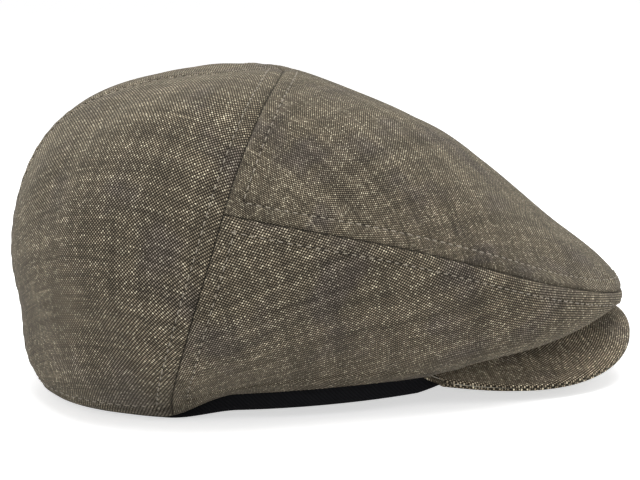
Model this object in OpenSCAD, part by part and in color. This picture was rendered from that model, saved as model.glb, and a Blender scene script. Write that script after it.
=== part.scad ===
// Flat newsboy cap: five-panel cloth crown, lining, sweatband and a snapped-down stiff visor.
// +X is forward (the visor), +Y is the wearer's left, +Z is up. The cap lies on its opening.
// The origin is under the middle of the cap's length, on the surface it lies on.

/* [Crown] */
// Height of the crown point, where the panels meet
crown_h = 144; // [128:1:174]
// Reach of the nose, from the crown point's axis to where the crown turns under
nose_reach = 163; // [140:1:200]
// Reach of the front shoulders, at 45 degrees
front_reach = 128; // [108:1:155]
// Reach of the sides, at 90 degrees: half the crown's width
side_reach = 110; // [92:1:132]
// Reach of the back shoulders, at 135 degrees
rear_reach = 124; // [104:1:150]
// Reach of the back
back_reach = 131; // [112:1:160]

/* [Head opening] */
// Length of the head opening, front to back
opening_l = 220; // [190:1:250]
// Width of the head opening
opening_w = 150; // [126:1:180]
// How far the opening's middle is ahead of the crown point
opening_ahead = 1; // [-6:1:8]
// Height of the hem at the back
hem_back = 1.5; // [1:0.5:4]
// How far behind the crown point the hem starts to rise towards the visor
hem_rise_at = 63; // [54:1:70]
// Length over which the hem rises
hem_rise_l = 33; // [26:1:40]

/* [Cloth] */
// Thickness of the outer cloth
shell_t = 1.0; // [0.6:0.1:1.4]
// Thickness of the interfacing behind the top panel
interfacing_t = 0.6; // [0.4:0.1:1.0]
// Thickness of the lining cloth
lining_t = 0.6; // [0.4:0.1:0.9]
// Clear space between two plies
ply_gap = 0.3; // [0.2:0.05:0.5]
// Clear space between two panels at a seam
seam_gap = 0.2; // [0.1:0.05:0.4]
// How far the lining hangs clear of the outer cloth
lining_ease = 4; // [3.5:0.5:7]
// How far the lining keeps back from the nose
lining_back_off = 34; // [25:1:45]

/* [Sweatband] */
// Height of the sweatband
band_h = 32; // [24:1:40]
// Thickness of the sweatband
band_t = 1.6; // [1:0.1:2.4]
// How far the sweatband shows below the hem at the sides and front
band_show = 8.2; // [5:0.1:10]
// Height of the stay tape behind the sweatband
tape_h = 9; // [6:1:14]
// Thickness of the stay tape
tape_t = 0.5; // [0.3:0.1:0.8]

/* [Visor] */
// How far the visor's front edge is ahead of the head opening
visor_l = 47; // [38:1:60]
// How far the visor's ends are ahead of the opening's middle
visor_root = 50; // [43:1:63]
// Height of the visor's mid-ply at its root's front
visor_h = 34; // [30:1:42]
// Fall of the visor, per unit of length ahead
visor_fall = 0.175; // [0.1:0.005:0.25]
// Radius of the visor's crosswise arch
visor_arch = 70; // [60:1:90]
// Squareness of the visor's outline: 2 is an ellipse
visor_square = 3.0; // [2:0.1:4]
// Thickness of the stiff board
board_t = 1.8; // [1.2:0.1:2.6]
// Thickness of the visor's cloth covers
cover_t = 0.7; // [0.5:0.1:1.2]
// How far the board keeps back from the visor's edge
board_inset = 3; // [2:0.5:5]

/* [Snap] */
// Diameter of the snap's flanges
snap_d = 10; // [8:0.5:13]
// How far the snap is ahead of the head opening
snap_ahead = 26; // [20:1:32]

/* [Hidden] */

cloth_colour = "#6b6354";
lining_colour = "#23211f";
band_colour = "#17171a";
board_colour = "#d8d4c8";
metal_colour = "#8a8578";

// Head opening and visor, before the cap is moved over the origin: the crown point is on the Z axis.
open_a = opening_l / 2;
open_b = opening_w / 2;
root_front = opening_ahead + open_a;
root_x = opening_ahead + visor_root;
root_y = open_b * sqrt(1 - pow(visor_root / open_a, 2));
root_angle = acos(visor_root / open_a);
visor_front = root_front + visor_l;
half_ply = board_t / 2 + ply_gap / 2;
visor_half = half_ply + cover_t;
fall_angle = atan(visor_fall);

// Height of the visor's mid-ply over a point of the plan, arched across and falling ahead.
function visor_mid(x, y) = visor_h - visor_fall * (x - root_front) - y * y / (2 * visor_arch);

// Radius of the opening's ellipse, inset all round, seen from the crown point's axis.
function opening_radius(c, s, inset) = let(
    a = open_a - inset,
    b = open_b - inset,
    qa = c * c / (a * a) + s * s / (b * b),
    qb = -c * opening_ahead / (a * a),
    qc = opening_ahead * opening_ahead / (a * a) - 1)
    (-qb + sqrt(qb * qb - qa * qc)) / qa;

// Height of the hem: low round the back, then a soft step up behind the ears and a gentle slope to the
// visor's ends; over the visor's root it follows the visor's top.
hem_root = visor_mid(root_x, root_y) + visor_half + ply_gap;
hem_step_part = 0.84;
function held(t) = max(0, min(1, t));
function hem_step(x) = let(t = held((x + hem_rise_at) / hem_rise_l)) t * t * (3 - 2 * t);
function hem_slope(x) = held((x + hem_rise_at - hem_rise_l) / (root_x + hem_rise_at - hem_rise_l));
function hem_share(x) = hem_step_part * hem_step(x) + (1 - hem_step_part) * hem_slope(x);
function hem_height(x, y) = x > root_x
    ? visor_mid(x, y) + visor_half + ply_gap
    : hem_back + (hem_root - hem_back) * hem_share(x);

// Crown surface. A profile is a cubic B-spline from the crown point to the hem, with seven control
// points: distance from the axis as a share of the reach, and height as a share of the crown's.
// The five profiles are at 0 (the nose), 45, 90, 135 and 180 degrees, and the last point is the hem.
KEY_COS = [1, sqrt(0.5), 0, -sqrt(0.5), -1];
REACH = [nose_reach, front_reach, side_reach, rear_reach, back_reach];
KEYS = [
    [[0, 1], [0.22, 0.90], [0.46, 0.82], [0.74, 0.51], [1.00, 0.290], [0.96, 0.205]],
    [[0, 1], [0.28, 0.95], [0.61, 0.88], [0.89, 0.59], [1.00, 0.32], [0.86, 0.13]],
    [[0, 1], [0.38, 1.01], [0.78, 0.96], [0.97, 0.63], [0.98, 0.35], [0.80, 0.19]],
    [[0, 1], [0.38, 1.02], [0.77, 0.98], [0.99, 0.61], [0.97, 0.29], [0.87, 0.08]],
    [[0, 1], [0.36, 1.00], [0.78, 0.97], [0.99, 0.55], [0.92, 0.28], [0.93, 0.06]]];

// The same profiles drawn in for the lining, which keeps further back towards the nose.
NOSE_SHARE = [0, 0.1, 0.2, 0.35, 0.8, 1.3];
LINING_LIFT = [-lining_ease, -lining_ease, -lining_ease, -lining_ease, lining_ease, 2 * lining_ease];
function lining_in(k, i) = lining_ease * min(1, i / 2)
    + (lining_back_off - lining_ease) * pow((1 + KEY_COS[k]) / 2, 4) * NOSE_SHARE[i];
function profile(k, lined) = [for (i = [0:5]) [
    KEYS[k][i].x * REACH[k] - (lined ? lining_in(k, i) : 0),
    KEYS[k][i].y * crown_h + (lined ? LINING_LIFT[i] : 0)]];
PROFILES = [for (lined = [false, true]) [for (k = [0:4]) profile(k, lined)]];

// Lagrange weights of the five profiles, in the cosine of the azimuth.
function weight(k, c, j = 0) = j > 4 ? 1 :
    (j == k ? 1 : (c - KEY_COS[j]) / (KEY_COS[k] - KEY_COS[j])) * weight(k, c, j + 1);

// Cubic B-spline of seven control points, clamped at both ends, with its parameter from 0 to 1.
function knot(i) = max(0, min(4, i - 3));
function basis(i, k, t) = k == 0
    ? (t >= knot(i) && t < knot(i + 1) ? 1 : 0)
    : (knot(i + k) > knot(i) ? (t - knot(i)) / (knot(i + k) - knot(i)) * basis(i, k - 1, t) : 0)
    + (knot(i + k + 1) > knot(i + 1)
        ? (knot(i + k + 1) - t) / (knot(i + k + 1) - knot(i + 1)) * basis(i + 1, k - 1, t) : 0);
T_END = 3.999999;
function spline(points, u) = let(t = min(T_END, max(0, 4 * u))) [for (i = [0:6]) basis(i, 3, t)] * points;

// A point of the crown over a point d of the unit disc: its middle is the crown point, its rim the hem.
function crown(d, lined = false) = let(
    r = max(0.0001, norm(d)),
    c = norm(d) < 0.0001 ? 1 : d.x / r,
    s = norm(d) < 0.0001 ? 0 : d.y / r,
    w = [for (k = [0:4]) weight(k, c)],
    body = [for (i = [0:5]) w * [for (k = [0:4]) PROFILES[lined ? 1 : 0][k][i]]],
    rim = opening_radius(c, s, lined ? shell_t + ply_gap : 0),
    rim_z = hem_height(rim * c, rim * s) + (lined ? 2 * shell_t : 0),
    q = spline(concat(body, [[rim, rim_z]]), min(1, r)))
    [q.x * c, q.x * s, q.y];

// The outward normal there, from central differences kept inside the rim.
STEP = 0.01;
function crown_normal(d, lined) = let(
    m = d * min(1, (1 - 2 * STEP) / max(STEP, norm(d))),
    a = crown(m + [STEP, 0], lined) - crown(m - [STEP, 0], lined),
    b = crown(m + [0, STEP], lined) - crown(m - [0, STEP], lined),
    n = cross(a, b))
    n / norm(n);
function inside(d, depth, lined) = crown(d, lined) - depth * crown_normal(d, lined);

// Seams, as curves in the disc, on the right side (negative y).
rim_seam_angle = -132;
SIDE_SEAM = [[0, 0], [-0.01, -0.10], [-0.05, -0.26], [-0.16, -0.46], [-0.29, -0.645], [-0.49, -0.765],
    [cos(rim_seam_angle), sin(rim_seam_angle)]];
side_seam_join = 0.5;
JOIN = spline(SIDE_SEAM, side_seam_join);
nose_seam = 0.80;
LONG_SEAM = [JOIN, [-0.06, -0.53], [0.15, -0.57], [0.40, -0.505], [0.62, -0.37],
    [nose_seam, -0.14], [nose_seam, 0]];
corner_share = 0.7;
function flip(d) = [d.x, -d.y];

// A patch of the disc between four curves (Coons): c0 and c1 run along u, d0 and d1 along v.
function blend(u, v, c0, c1, d0, d1, p00, p10, p01, p11) =
    (1 - v) * c0 + v * c1 + (1 - u) * d0 + u * d1
    - (1 - u) * (1 - v) * p00 - u * (1 - v) * p10 - (1 - u) * v * p01 - u * v * p11;

function back_edge(v) = v < 0.5
    ? spline(SIDE_SEAM, side_seam_join * (1 - 2 * v))
    : flip(spline(SIDE_SEAM, side_seam_join * (2 * v - 1)));
function front_edge(v) = v < 0.5
    ? spline(LONG_SEAM, corner_share + (1 - corner_share) * 2 * v)
    : flip(spline(LONG_SEAM, corner_share + (1 - corner_share) * 2 * (1 - v)));
CORNER = spline(LONG_SEAM, corner_share);
function top_patch(u, v) = let(c0 = spline(LONG_SEAM, corner_share * u))
    blend(u, v, c0, flip(c0), back_edge(v), front_edge(v), JOIN, CORNER, flip(JOIN), flip(CORNER));

RIM_JOIN = SIDE_SEAM[6];
function side_patch(u, v) = let(a = rim_seam_angle * (1 - u))
    blend(u, v, [cos(a), sin(a)], spline(LONG_SEAM, u), spline(SIDE_SEAM, 1 - (1 - side_seam_join) * v),
        [1 - (1 - nose_seam) * v, 0], RIM_JOIN, [1, 0], JOIN, [nose_seam, 0]);

// The back patch fans from the centre-back line to the side seam, in polar terms.
function back_patch(u, v) = let(
    s = spline(SIDE_SEAM, 1 - v),
    r = (1 - u) * (1 - v) + u * norm(s),
    a = (1 - u) * 180 + u * (360 + atan2(s.y, s.x)))
    [r * cos(a), r * sin(a)];

// A closed sheet between two grids of the same shape, outer and inner, each a list of rows.
module sheet(outer, inner) {
    rows = len(outer);
    cols = len(outer[0]);
    half = rows * cols;
    points = concat([for (r = outer) each r], [for (r = inner) each r]);
    function at(i, j) = i * cols + j;
    faces = concat(
        [for (i = [0:rows - 2], j = [0:cols - 2]) each [
            [at(i, j), at(i, j + 1), at(i + 1, j + 1)], [at(i, j), at(i + 1, j + 1), at(i + 1, j)]]],
        [for (i = [0:rows - 2], j = [0:cols - 2]) each [
            [half + at(i, j), half + at(i + 1, j + 1), half + at(i, j + 1)],
            [half + at(i, j), half + at(i + 1, j), half + at(i + 1, j + 1)]]],
        [for (i = [0:rows - 2]) each [
            [at(i, 0), at(i + 1, 0), half + at(i + 1, 0)], [at(i, 0), half + at(i + 1, 0), half + at(i, 0)],
            [at(i, cols - 1), half + at(i + 1, cols - 1), at(i + 1, cols - 1)],
            [at(i, cols - 1), half + at(i, cols - 1), half + at(i + 1, cols - 1)]]],
        [for (j = [0:cols - 2]) each [
            [at(0, j), half + at(0, j + 1), at(0, j + 1)], [at(0, j), half + at(0, j), half + at(0, j + 1)],
            [at(rows - 1, j), at(rows - 1, j + 1), half + at(rows - 1, j + 1)],
            [at(rows - 1, j), half + at(rows - 1, j + 1), half + at(rows - 1, j)]]]);
    polyhedron(points, faces);
}

// Even steps from a to b, as a list of n + 1 values.
function steps(a, b, n) = [for (i = [0:n]) a + (b - a) * i / n];

// A seam's half gap as a share of a panel about 150 mm across.
edge = seam_gap / 2 / 150;
// The back patch starts this far from the crown point, where its rows would shrink to nothing.
tip = 0.002;

// A ply of the crown over a patch of the disc, cut into a grid, between two depths.
TOP = 0;
SIDE = 1;
BACK = 2;
function patch(which, u, v) = which == TOP ? top_patch(u, v)
    : which == SIDE ? side_patch(u, v)
    : back_patch(u, v);
module ply(which, us, vs, depth, thickness, lined) {
    sheet([for (u = us) [for (v = vs) inside(patch(which, u, v), depth, lined)]],
        [for (u = us) [for (v = vs) inside(patch(which, u, v), depth + thickness, lined)]]);
}
function seam_share(lined) = lined ? 3 * edge : edge;
module top_ply(nu, nv, t, lined) let(e = seam_share(lined))
    ply(TOP, steps(e, 1 - e, nu), steps(e, 1 - e, nv), 0, t, lined);
module side_ply(nu, nv, t, lined) let(e = seam_share(lined))
    ply(SIDE, steps(e, 1 - e, nu), steps(0, 1 - e, nv), 0, t, lined);
module back_ply(nu, nv, t, lined) let(e = seam_share(lined))
    ply(BACK, steps(e, 1 - e, nu), steps(0, 1 - tip, nv), 0, t, lined);

// The cap's middle, front to back, which is moved over the origin.
back_x = min([for (v = steps(0, 1, 40)) crown([v - 1.0001, 0]).x]);
front_x = max(visor_front, max([for (v = steps(0, 1, 40)) crown([0.0001 + v, 0]).x]));
middle_x = (front_x + back_x) / 2;
module placed() translate([-middle_x, 0, 0]) children();
module left() mirror([0, 1, 0]) children();

// Crown
module top_panel() color(cloth_colour) placed() top_ply(24, 14, shell_t, false);
module side_panel_right() color(cloth_colour) placed() side_ply(24, 8, shell_t, false);
module side_panel_left() color(cloth_colour) placed() left() side_ply(24, 8, shell_t, false);
module back_panel_right() color(cloth_colour) placed() back_ply(10, 16, shell_t, false);
module back_panel_left() color(cloth_colour) placed() left() back_ply(10, 16, shell_t, false);
module crown_interfacing() color(board_colour) placed() {
    // It uses the top panel's own grid lines, so the two plies' flats lie parallel.
    us = steps(edge, 1 - edge, 24);
    vs = steps(edge, 1 - edge, 14);
    ply(TOP, [for (i = [8:22]) us[i]], [for (j = [1:13]) vs[j]], shell_t + ply_gap, interfacing_t, false);
}
module lining_top() color(lining_colour) placed() top_ply(16, 10, lining_t, true);
module lining_side_right() color(lining_colour) placed() side_ply(16, 6, lining_t, true);
module lining_side_left() color(lining_colour) placed() left() side_ply(16, 6, lining_t, true);
module lining_back_right() color(lining_colour) placed() back_ply(7, 12, lining_t, true);
module lining_back_left() color(lining_colour) placed() left() back_ply(7, 12, lining_t, true);

// A strip round the opening, butted at the back: its outer face is inset from the hem's line,
// its lower edge starts above or below the hem.
strip_end = 179.6;
function drop(x) = hem_back + (band_show - hem_back) * hem_step(x);
function strip_point(a, inset, z, below) = let(
    r = opening_radius(cos(a), sin(a), inset),
    r0 = opening_radius(cos(a), sin(a), 0),
    base = hem_height(r0 * cos(a), r0 * sin(a)))
    [r * cos(a), r * sin(a), base + z - (below ? drop(r0 * cos(a)) : 0)];
module strip(inset, thickness, z0, z1, below) {
    around = steps(-strip_end, strip_end, 72);
    sheet([for (a = around) [for (z = [z0, z1]) strip_point(a, inset, z, below)]],
        [for (a = around) [for (z = [z0, z1]) strip_point(a, inset + thickness, z, below)]]);
}
tape_inset = shell_t + ply_gap + lining_t + ply_gap;
band_inset = tape_inset + tape_t + ply_gap;
module sweatband() color(band_colour) placed() strip(band_inset, band_t, 0, band_h, true);
tape_z = shell_t + 2 * ply_gap;
module stay_tape() color(lining_colour) placed() strip(tape_inset, tape_t, tape_z, tape_z + tape_h, false);

// Visor: w runs from the root to the outer edge, s from the right end to the left one.
visor_end = 0.985;
root_inset = tape_inset;
function visor_root_point(s) = let(a = root_angle * s)
    [opening_ahead + (open_a - root_inset) * cos(a), (open_b - root_inset) * sin(a)];
function visor_edge_point(s) = let(t = 90 * s, e = 2 / visor_square)
    [root_x + (visor_front - root_x) * pow(cos(t), e), root_y * sign(s) * pow(abs(sin(t)), e)];
function visor_plan(s, w) = (1 - w) * visor_root_point(s) + w * visor_edge_point(s);
// A point of the visor a height z above its mid-ply.
function visor_point(s, w, z) = let(p = visor_plan(s, w)) [p.x, p.y, visor_mid(p.x, p.y) + z];
module visor_ply(ws, ends, uppers, lowers) {
    ss = steps(-ends, ends, 28);
    sheet([for (i = [0:len(ws) - 1]) [for (s = ss) visor_point(s, ws[i], uppers[i])]],
        [for (i = [0:len(ws) - 1]) [for (s = ss) visor_point(s, ws[i], lowers[i])]]);
}
// The covers close over the board's edge in a quarter round, within this share of the visor's depth.
closing = board_inset / visor_l;
cover_ws = concat(steps(0, 1 - closing, 8), [for (k = [1:4]) 1 - closing + closing * sin(22.5 * k)]);
cover_lift = concat([for (k = [0:8]) half_ply], [for (k = [1:4]) max(ply_gap / 2, half_ply * cos(22.5 * k))]);
board_ws = steps(0, 1 - closing, 8);
module visor_top_cover() color(cloth_colour) placed()
    visor_ply(cover_ws, visor_end, [for (z = cover_lift) z + cover_t], cover_lift);
module visor_under_cover() color(cloth_colour) placed()
    visor_ply(cover_ws, visor_end, -cover_lift, [for (z = cover_lift) -z - cover_t]);
board_lift = [for (w = board_ws) board_t / 2];
module visor_board() color(board_colour) placed()
    visor_ply(board_ws, visor_end - 0.02, board_lift, -board_lift);

// Snap: its parts are set through the cloth, square to the visor's top. The stud stands on the visor
// and the socket hangs from the crown's underside, so together they fill the space between the two.
snap_x = root_front + snap_ahead;
snap_r = snap_d / 2;
nose_under = lookup(snap_x, [for (v = steps(1, 0.87, 26)) let(q = crown([v, 0])) [q.x, q.z]]);
snap_h = (nose_under - visor_mid(snap_x, 0)) * cos(fall_angle);
flange_t = 0.4;
stud_r = 1.7;
snap_play = 0.1;
// The crown's cloth slopes less than the visor, so it leaves the flanges by this much at their edges.
cloth_slope = 0.085 * snap_d;
socket_top = snap_h - cloth_slope - snap_play;
cap_z = snap_h + shell_t + cloth_slope + snap_play;
module at_snap() placed() translate([snap_x, 0, visor_mid(snap_x, 0)]) rotate([0, fall_angle, 0]) children();
module disc(z0, z1, r, hole = 0)
    translate([0, 0, z0]) rotate_extrude($fn = 48) translate([hole, 0]) square([r - hole, z1 - z0]);
stud_z = visor_half + snap_play;
socket_z = stud_z + flange_t + snap_play;
module snap_stud() color(metal_colour) at_snap() {
    disc(stud_z, stud_z + flange_t, snap_r);
    disc(0, socket_top - snap_play, stud_r);
}
module snap_post() color(metal_colour) at_snap() disc(0.2, 0.2 + flange_t, snap_r - 1, stud_r + snap_play);
module snap_socket() color(metal_colour) at_snap() disc(socket_z, socket_top, snap_r, stud_r + snap_play);
module snap_cap() color(metal_colour) at_snap() disc(cap_z, cap_z + flange_t, snap_r);

top_panel();
side_panel_right();
side_panel_left();
back_panel_right();
back_panel_left();
crown_interfacing();
lining_top();
lining_side_right();
lining_side_left();
lining_back_right();
lining_back_left();
sweatband();
stay_tape();
visor_top_cover();
visor_under_cover();
visor_board();
snap_cap();
snap_socket();
snap_stud();
snap_post();
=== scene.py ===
"""Looks of a flat newsboy cap: slubby chambray crown, lining, sweatband and a stiff snapped visor.

Every surface is worked out from the same rules as the construction model, in millimetres, and put
into its mesh in metres. The crown is a smooth dome over a unit disc, cut into five panels along
seams that are curves in that disc; cloth relief, topstitching and lining are offsets from it.
"""

import logging
import math
from dataclasses import dataclass, field
from enum import Enum
from typing import Any, Callable, Sequence

import bpy
import numpy as np
from mathutils import Matrix, Vector


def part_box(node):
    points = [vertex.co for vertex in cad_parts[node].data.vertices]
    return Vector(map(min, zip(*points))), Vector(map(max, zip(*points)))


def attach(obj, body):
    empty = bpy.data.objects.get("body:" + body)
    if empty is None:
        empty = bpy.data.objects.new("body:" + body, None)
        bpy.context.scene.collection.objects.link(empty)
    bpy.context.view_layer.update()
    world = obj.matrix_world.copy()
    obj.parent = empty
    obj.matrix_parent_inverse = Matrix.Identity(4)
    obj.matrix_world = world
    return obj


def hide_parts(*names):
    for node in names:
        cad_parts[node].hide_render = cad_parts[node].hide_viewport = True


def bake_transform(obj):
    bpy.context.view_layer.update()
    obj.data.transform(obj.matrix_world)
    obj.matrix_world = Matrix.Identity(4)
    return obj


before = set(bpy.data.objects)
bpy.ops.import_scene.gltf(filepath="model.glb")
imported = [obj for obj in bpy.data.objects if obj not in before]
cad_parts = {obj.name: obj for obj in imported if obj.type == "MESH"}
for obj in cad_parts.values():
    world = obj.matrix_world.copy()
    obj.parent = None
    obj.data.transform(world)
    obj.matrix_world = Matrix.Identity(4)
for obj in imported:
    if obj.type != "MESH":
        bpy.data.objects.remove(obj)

Array = np.ndarray
MM = 0.001
# A distance in mm that no seam's or hem's mark reaches, for cloth that carries none.
UNMARKED = 50.0
log = logging.getLogger("newsboy_cap")


# ---------------------------------------------------------------------------------------------
# Small tools
# ---------------------------------------------------------------------------------------------


def linear(hex_colour: str) -> tuple[float, float, float, float]:
    """Turns an sRGB hex colour into linear RGBA.

    Args:
        hex_colour: a colour such as "#8a8578".

    Returns:
        Linear red, green and blue with an alpha of 1.
    """
    channels = np.array([int(hex_colour[i : i + 2], 16) for i in (1, 3, 5)]) / 255
    curved = np.where(channels <= 0.04045, channels / 12.92, ((channels + 0.055) / 1.055) ** 2.4)
    return (*(float(c) for c in curved), 1.0)


def smooth(x: Array) -> Array:
    """Smooth step from 0 to 1: 3x^2 - 2x^3 on x held between 0 and 1."""
    t = np.clip(x, 0.0, 1.0)
    return t * t * (3 - 2 * t)


def bell(x: Array) -> Array:
    """Bell curve e^(-x^2)."""
    return np.exp(-np.square(x))


def unit(vectors: Array) -> Array:
    """Vectors divided by their own lengths, along the last axis."""
    return vectors / np.maximum(np.linalg.norm(vectors, axis=-1, keepdims=True), 1e-9)


def spaced(length: float, fine: tuple[bool, bool], steps: tuple[float, float], reach: float) -> Array:
    """Shares from 0 to 1 along a length, close together at the ends named as fine.

    The step grows smoothly from the fine one to the coarse one past the reach; the count is the
    integral of one over the step, and the places are its inverse.

    Args:
        length: the length in mm.
        fine: whether the start and the end are fine.
        steps: the fine step and the coarse step, in mm.
        reach: how far in from an end the fine steps go, in mm.

    Returns:
        Rising shares, 0 and 1 included.
    """
    x = np.linspace(0, length, 4000)
    near = np.full_like(x, 1e6)
    if fine[0]:
        near = np.minimum(near, x)
    if fine[1]:
        near = np.minimum(near, length - x)
    step = steps[0] + (steps[1] - steps[0]) * smooth((near - reach) / reach)
    count = np.concatenate([[0], np.cumsum(0.5 * (1 / step[1:] + 1 / step[:-1]) * np.diff(x))])
    return np.interp(np.linspace(0, count[-1], int(round(count[-1])) + 1), count, x) / length


def run_lengths(points: Array) -> Array:
    """Length run along a polyline, from its first point, along axis 0."""
    parts = np.linalg.norm(np.diff(points, axis=0), axis=-1)
    return np.concatenate([np.zeros((1, *parts.shape[1:])), np.cumsum(parts, axis=0)])


def make_mesh(
    name: str,
    points: Array,
    quads: Array,
    uv: Array | None = None,
    values: dict[str, Array] | None = None,
    sharp_deg: float = 55.0,
) -> bpy.types.Object:
    """Puts arrays into a new mesh object at the origin, with its faces outwards.

    Faces are turned round as one if the closed mesh's volume, the sum of a . (b x c) / 6 over its
    triangles, comes out negative.

    Args:
        name: the object's name.
        points: vertex places in mm, n by 3.
        quads: vertex numbers, m by 4.
        uv: cloth coordinates in mm for each vertex, n by 2.
        values: named float values for each vertex.
        sharp_deg: edges sharper than this are shaded as edges.

    Returns:
        The object, linked to the scene.
    """
    a, b, c, d = (points[quads[:, k]] for k in range(4))
    volume = np.einsum("ij,ij->", a, np.cross(b, c)) + np.einsum("ij,ij->", a, np.cross(c, d))
    if volume < 0:
        quads = quads[:, ::-1]
    mesh = bpy.data.meshes.new(name)
    mesh.vertices.add(len(points))
    mesh.vertices.foreach_set("co", (points * MM).astype(np.float32).ravel())
    mesh.loops.add(quads.size)
    mesh.loops.foreach_set("vertex_index", quads.astype(np.int32).ravel())
    mesh.polygons.add(len(quads))
    mesh.polygons.foreach_set("loop_start", np.arange(0, quads.size, 4, dtype=np.int32))
    mesh.update(calc_edges=True)
    if uv is not None:
        layer = mesh.uv_layers.new(name="cloth")
        layer.data.foreach_set("uv", uv[quads.ravel()].astype(np.float32).ravel())
    for key, value in (values or {}).items():
        mesh.attributes.new(key, "FLOAT", "POINT").data.foreach_set("value", value.astype(np.float32).ravel())
    mesh.shade_smooth()
    mesh.set_sharp_from_angle(angle=math.radians(sharp_deg))
    made = bpy.data.objects.new(name, mesh)
    bpy.context.scene.collection.objects.link(made)
    return made


def sheet_quads(rows: int, cols: int) -> Array:
    """Quads of a closed sheet whose first half of vertices is its outer grid, the rest its inner grid.

    Args:
        rows: rows of each grid.
        cols: columns of each grid.

    Returns:
        Vertex numbers, four a quad.
    """
    number = np.arange(rows * cols).reshape(rows, cols)
    inner = number + rows * cols

    def cells(g: Array) -> Array:
        """Quads of one grid."""
        return np.stack([g[:-1, :-1], g[1:, :-1], g[1:, 1:], g[:-1, 1:]], -1).reshape(-1, 4)

    def wall(top: Array, bottom: Array) -> Array:
        """Quads between an edge of the outer grid and the same edge of the inner one."""
        return np.stack([top[:-1], top[1:], bottom[1:], bottom[:-1]], -1)

    parts = [cells(number), cells(inner)[:, ::-1]]
    parts += [wall(number[:, 0], inner[:, 0])[:, ::-1], wall(number[:, -1], inner[:, -1])]
    parts += [wall(number[0], inner[0]), wall(number[-1], inner[-1])[:, ::-1]]
    return np.vstack(parts)


def doubled(layout: Array) -> Array:
    """A grid's layout once for a sheet's outer face and once for its inner one, n by 2."""
    return np.vstack([layout.reshape(-1, 2)] * 2)


def spline(points: Array, share: Array) -> Array:
    """Cubic B-spline of seven control points, clamped at both ends.

    The weights follow the Cox-de Boor rule on the knots 0 0 0 0 1 2 3 4 4 4 4.

    Args:
        points: control points, 7 by k, or one set of them for each share.
        share: place along the curve, from 0 to 1, of any shape.

    Returns:
        Points of the share's shape, by k.
    """
    knots = np.clip(np.arange(11) - 3, 0, 4).astype(float)
    t = np.clip(4 * np.asarray(share, float), 0, 4 - 1e-6)
    weights = [((t >= knots[i]) & (t < knots[i + 1])).astype(float) for i in range(10)]
    for degree in (1, 2, 3):
        raised = []
        for i in range(10 - degree):
            left, right = knots[i + degree] - knots[i], knots[i + degree + 1] - knots[i + 1]
            value = (t - knots[i]) / left * weights[i] if left > 0 else 0 * t
            raised.append(value + ((knots[i + degree + 1] - t) / right * weights[i + 1] if right > 0 else 0))
        weights = raised
    stack = np.stack(weights, -1)
    return stack @ points if points.ndim == 2 else np.einsum("...i,...ij->...j", stack, points)


# ---------------------------------------------------------------------------------------------
# The cap's shape, as in the construction model
# ---------------------------------------------------------------------------------------------


@dataclass(frozen=True)
class VisorPlan:
    """The visor's plan and height, and the hem that follows it. Sizes in mm, crown point on the axis."""

    opening_long: float = 110.0
    opening_wide: float = 75.0
    opening_ahead: float = 1.0
    length: float = 47.0
    root_ahead: float = 50.0
    height: float = 34.0
    fall: float = 0.175
    arch: float = 70.0
    squareness: float = 3.0
    board: float = 1.8
    cover: float = 0.7
    gap: float = 0.3
    board_back: float = 3.0
    root_inset: float = 2.2
    hem_back: float = 1.5
    rise_at: float = 63.0
    rise_long: float = 33.0
    step_part: float = 0.84

    @property
    def root_front(self) -> float:
        """The front of the head opening."""
        return self.opening_ahead + self.opening_long

    @property
    def root_x(self) -> float:
        """Where the visor's ends are."""
        return self.opening_ahead + self.root_ahead

    @property
    def root_y(self) -> float:
        """Half the distance between the visor's ends."""
        return self.opening_wide * math.sqrt(1 - (self.root_ahead / self.opening_long) ** 2)

    @property
    def front(self) -> float:
        """The visor's front edge."""
        return self.root_front + self.length

    @property
    def half_ply(self) -> float:
        """From the mid-ply to a cover's inner face."""
        return (self.board + self.gap) / 2

    @property
    def half(self) -> float:
        """From the mid-ply to a cover's outer face."""
        return self.half_ply + self.cover

    def mid(self, x: Array, y: Array) -> Array:
        """Height of the mid-ply: it falls ahead in a straight line and across as y^2 over twice the arch."""
        return self.height - self.fall * (x - self.root_front) - np.square(y) / (2 * self.arch)

    def hem(self, x: Array, y: Array) -> Array:
        """Height of the hem: low at the back, a soft step, a gentle slope, then on the visor's root.

        Args:
            x: how far ahead of the crown point, in mm.
            y: how far to the side, in mm.

        Returns:
            Heights in mm.
        """
        rise = self.half + self.gap
        top = self.mid(self.root_x, self.root_y) + rise
        start = self.rise_long - self.rise_at
        slope = np.clip((x - start) / (self.root_x - start), 0, 1)
        share = self.step_part * self.hem_step(x) + (1 - self.step_part) * slope
        behind = self.hem_back + (top - self.hem_back) * share
        return np.where(x > self.root_x, self.mid(x, y) + rise, behind)

    def hem_step(self, x: Array) -> Array:
        """0 round the back, 1 ahead of the hem's step."""
        return smooth((x + self.rise_at) / self.rise_long)

    def opening_radius(self, cosine: Array, sine: Array, inset: float = 0.0) -> Array:
        """Radius of the opening's ellipse about the crown point: the positive root of its quadratic.

        Args:
            cosine: cosine of the angle from the nose.
            sine: sine of it.
            inset: how far inside the hem, in mm.

        Returns:
            Radii in mm.
        """
        a, b, m = self.opening_long - inset, self.opening_wide - inset, self.opening_ahead
        qa = np.square(cosine / a) + np.square(sine / b)
        qb = -cosine * m / a**2
        return (-qb + np.sqrt(qb * qb - qa * (m * m / a**2 - 1))) / qa


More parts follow.
